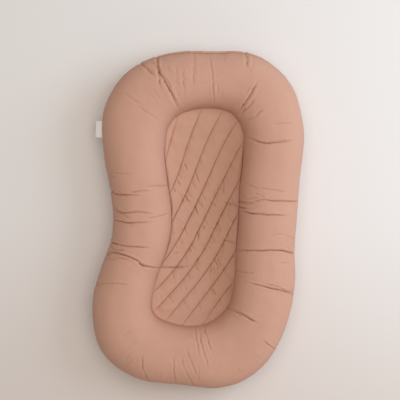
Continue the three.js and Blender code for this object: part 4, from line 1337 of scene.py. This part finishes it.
label_satin = ribbed("label_satin", LABEL_COLOUR, LABEL_ROUGHNESS, LABEL_RIB_PITCH, LABEL_RIB_DEPTH)
label_t = np.array([LABEL_PLACE])
label_seam = roll_point(label_t, angle_at_height(label_t, seam_height(LABEL_PLACE)))[0]
label_out = roll_frame(label_t)[1][0]
across_share = np.linspace(-0.5, 0.5, LABEL_COLUMNS)[None, :]
along_share = np.linspace(-1, 1, LABEL_ROWS)[:, None]
reach_share = 1 - np.abs(along_share)
gap = -LABEL_GAP * np.sign(along_share) * np.abs(along_share) ** LABEL_GAP_ROUNDNESS_SHARE
curl = LABEL_CURL * np.sin(LABEL_CURL_TURN * across_share + LABEL_CURL_START) * reach_share
out = (LABEL_REACH + LABEL_TUCK) * reach_share * (1 - LABEL_SLANT_SHARE * across_share) - LABEL_TUCK
drop = gap + curl - LABEL_DROOP * np.maximum(out / LABEL_REACH, 0) ** LABEL_DROOP_SHARE
plan = label_seam[:2] + out[..., None] * label_out
plan = plan + (LABEL_WIDTH * across_share)[..., None] * np.array([-label_out[1], label_out[0]])
label_points = np.concatenate([plan, (label_seam[2] + drop)[..., None]], -1)
label = grid_piece("care_label_ribbon", label_points, label_satin)
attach(label, "root")
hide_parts("care_label")

# THE FLOOR. A pale matt sheet lies under the lounger, with painted shade that makes it a little darker and
# warmer towards its foot end.
FLOOR_COLOUR = (0.78, 0.75, 0.73)
FLOOR_SHADE_COLOUR = (0.70, 0.635, 0.60)
FLOOR_FADE_LENGTH = 0.42
FLOOR_FADE_SOFTNESS = 0.2
FLOOR_ROUGHNESS = 0.9
FLOOR_REACH = 6

paper = Finish("floor_paper")
place = paper.node("ShaderNodeTexCoord", outputs=(OBJECT_OUTPUT,))
along = paper.node("ShaderNodeSeparateXYZ", {}, {"Vector": place}, (1,))
# Painted shade: from the middle towards the foot end the floor blends into a darker, warmer shade colour.
footward = paper.maths("SMOOTH_MAX", along * (-1 / FLOOR_FADE_LENGTH), 0.0, FLOOR_FADE_SOFTNESS)
floor_shaded_tone = paper.mixed(paper.maths("MINIMUM", footward, 1.0), FLOOR_COLOUR, FLOOR_SHADE_COLOUR)
floor_paper = paper.ended({"Base Color": floor_shaded_tone, "Roughness": FLOOR_ROUGHNESS})
floor_points = FLOOR_REACH * np.array([(-1, -1, 0), (1, -1, 0), (1, 1, 0), (-1, 1, 0)])
floor = quad_piece("floor", floor_points, np.array([(0, 1, 2, 3)]), floor_paper)
floor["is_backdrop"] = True


# THE LIGHT. Cool light comes through a window on the right, with a little warm light from a lamp beyond
# the foot end and more from the ceiling, and the room itself gives a faint, even light.
ROOM_COLOUR = (0.96, 1.0, 0.94)
ROOM_STRENGTH = 0.36


def area_light(name, place, aim, size, power, colour):
    """A square lamp at a place, turned to face a point."""
    data = bpy.data.lights.new(name, "AREA")
    data.size, data.energy, data.color = size, power, colour
    lamp = bpy.data.objects.new(name, data)
    lamp.location = place
    lamp.rotation_euler = (Vector(aim) - Vector(place)).to_track_quat("-Z", "Y").to_euler()
    lamp.visible_camera = False
    bpy.context.scene.collection.objects.link(lamp)


area_light("window", (1.93, 0.75, 1.2), aim=(0.34, 0.10, 0), size=1.8, power=37, colour=(0.70, 0.84, 0.98))
area_light("lamp", (1.2, -1.7, 1.2), aim=(0.2, -0.3, 0), size=1.6, power=7, colour=(1.0, 0.76, 0.64))
area_light("ceiling", (0.1, 0.4, 2.4), aim=(0, 0.1, 0), size=2.0, power=28.5, colour=(1.0, 0.85, 0.78))
world = bpy.data.worlds.new("room")
world.use_nodes = True
background = world.node_tree.nodes["Background"]
background.inputs["Color"].default_value = (*ROOM_COLOUR, 1)
background.inputs["Strength"].default_value = ROOM_STRENGTH
bpy.context.scene.world = world
bpy.context.scene.view_settings.view_transform = "Standard"

# THE CAMERA. It hangs over two metres above the lounger and looks straight down. It is turned by a few
# degrees, so that the head end leans to the right in the picture.
PHOTO_SIZE = 400
CAMERA_DISTANCE = 2.2
SIGHT_HEIGHT = 0.06
SENSOR_WIDTH = 36

sight = Vector((*from_photo((PHOTO_SIZE / 2, PHOTO_SIZE / 2)), SIGHT_HEIGHT + CAMERA_DISTANCE))
camera_data = bpy.data.cameras.new("camera")
camera_data.sensor_width = SENSOR_WIDTH
camera_data.lens = SENSOR_WIDTH * CAMERA_DISTANCE / (PHOTO_SIZE * METRES_PER_PIXEL)
camera = bpy.data.objects.new("camera", camera_data)
camera.matrix_world = Matrix.Translation(sight) @ Matrix.Rotation(PHOTO_TURN, 4, "Z")
bpy.context.scene.collection.objects.link(camera)
bpy.context.scene.camera = camera

low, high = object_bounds()
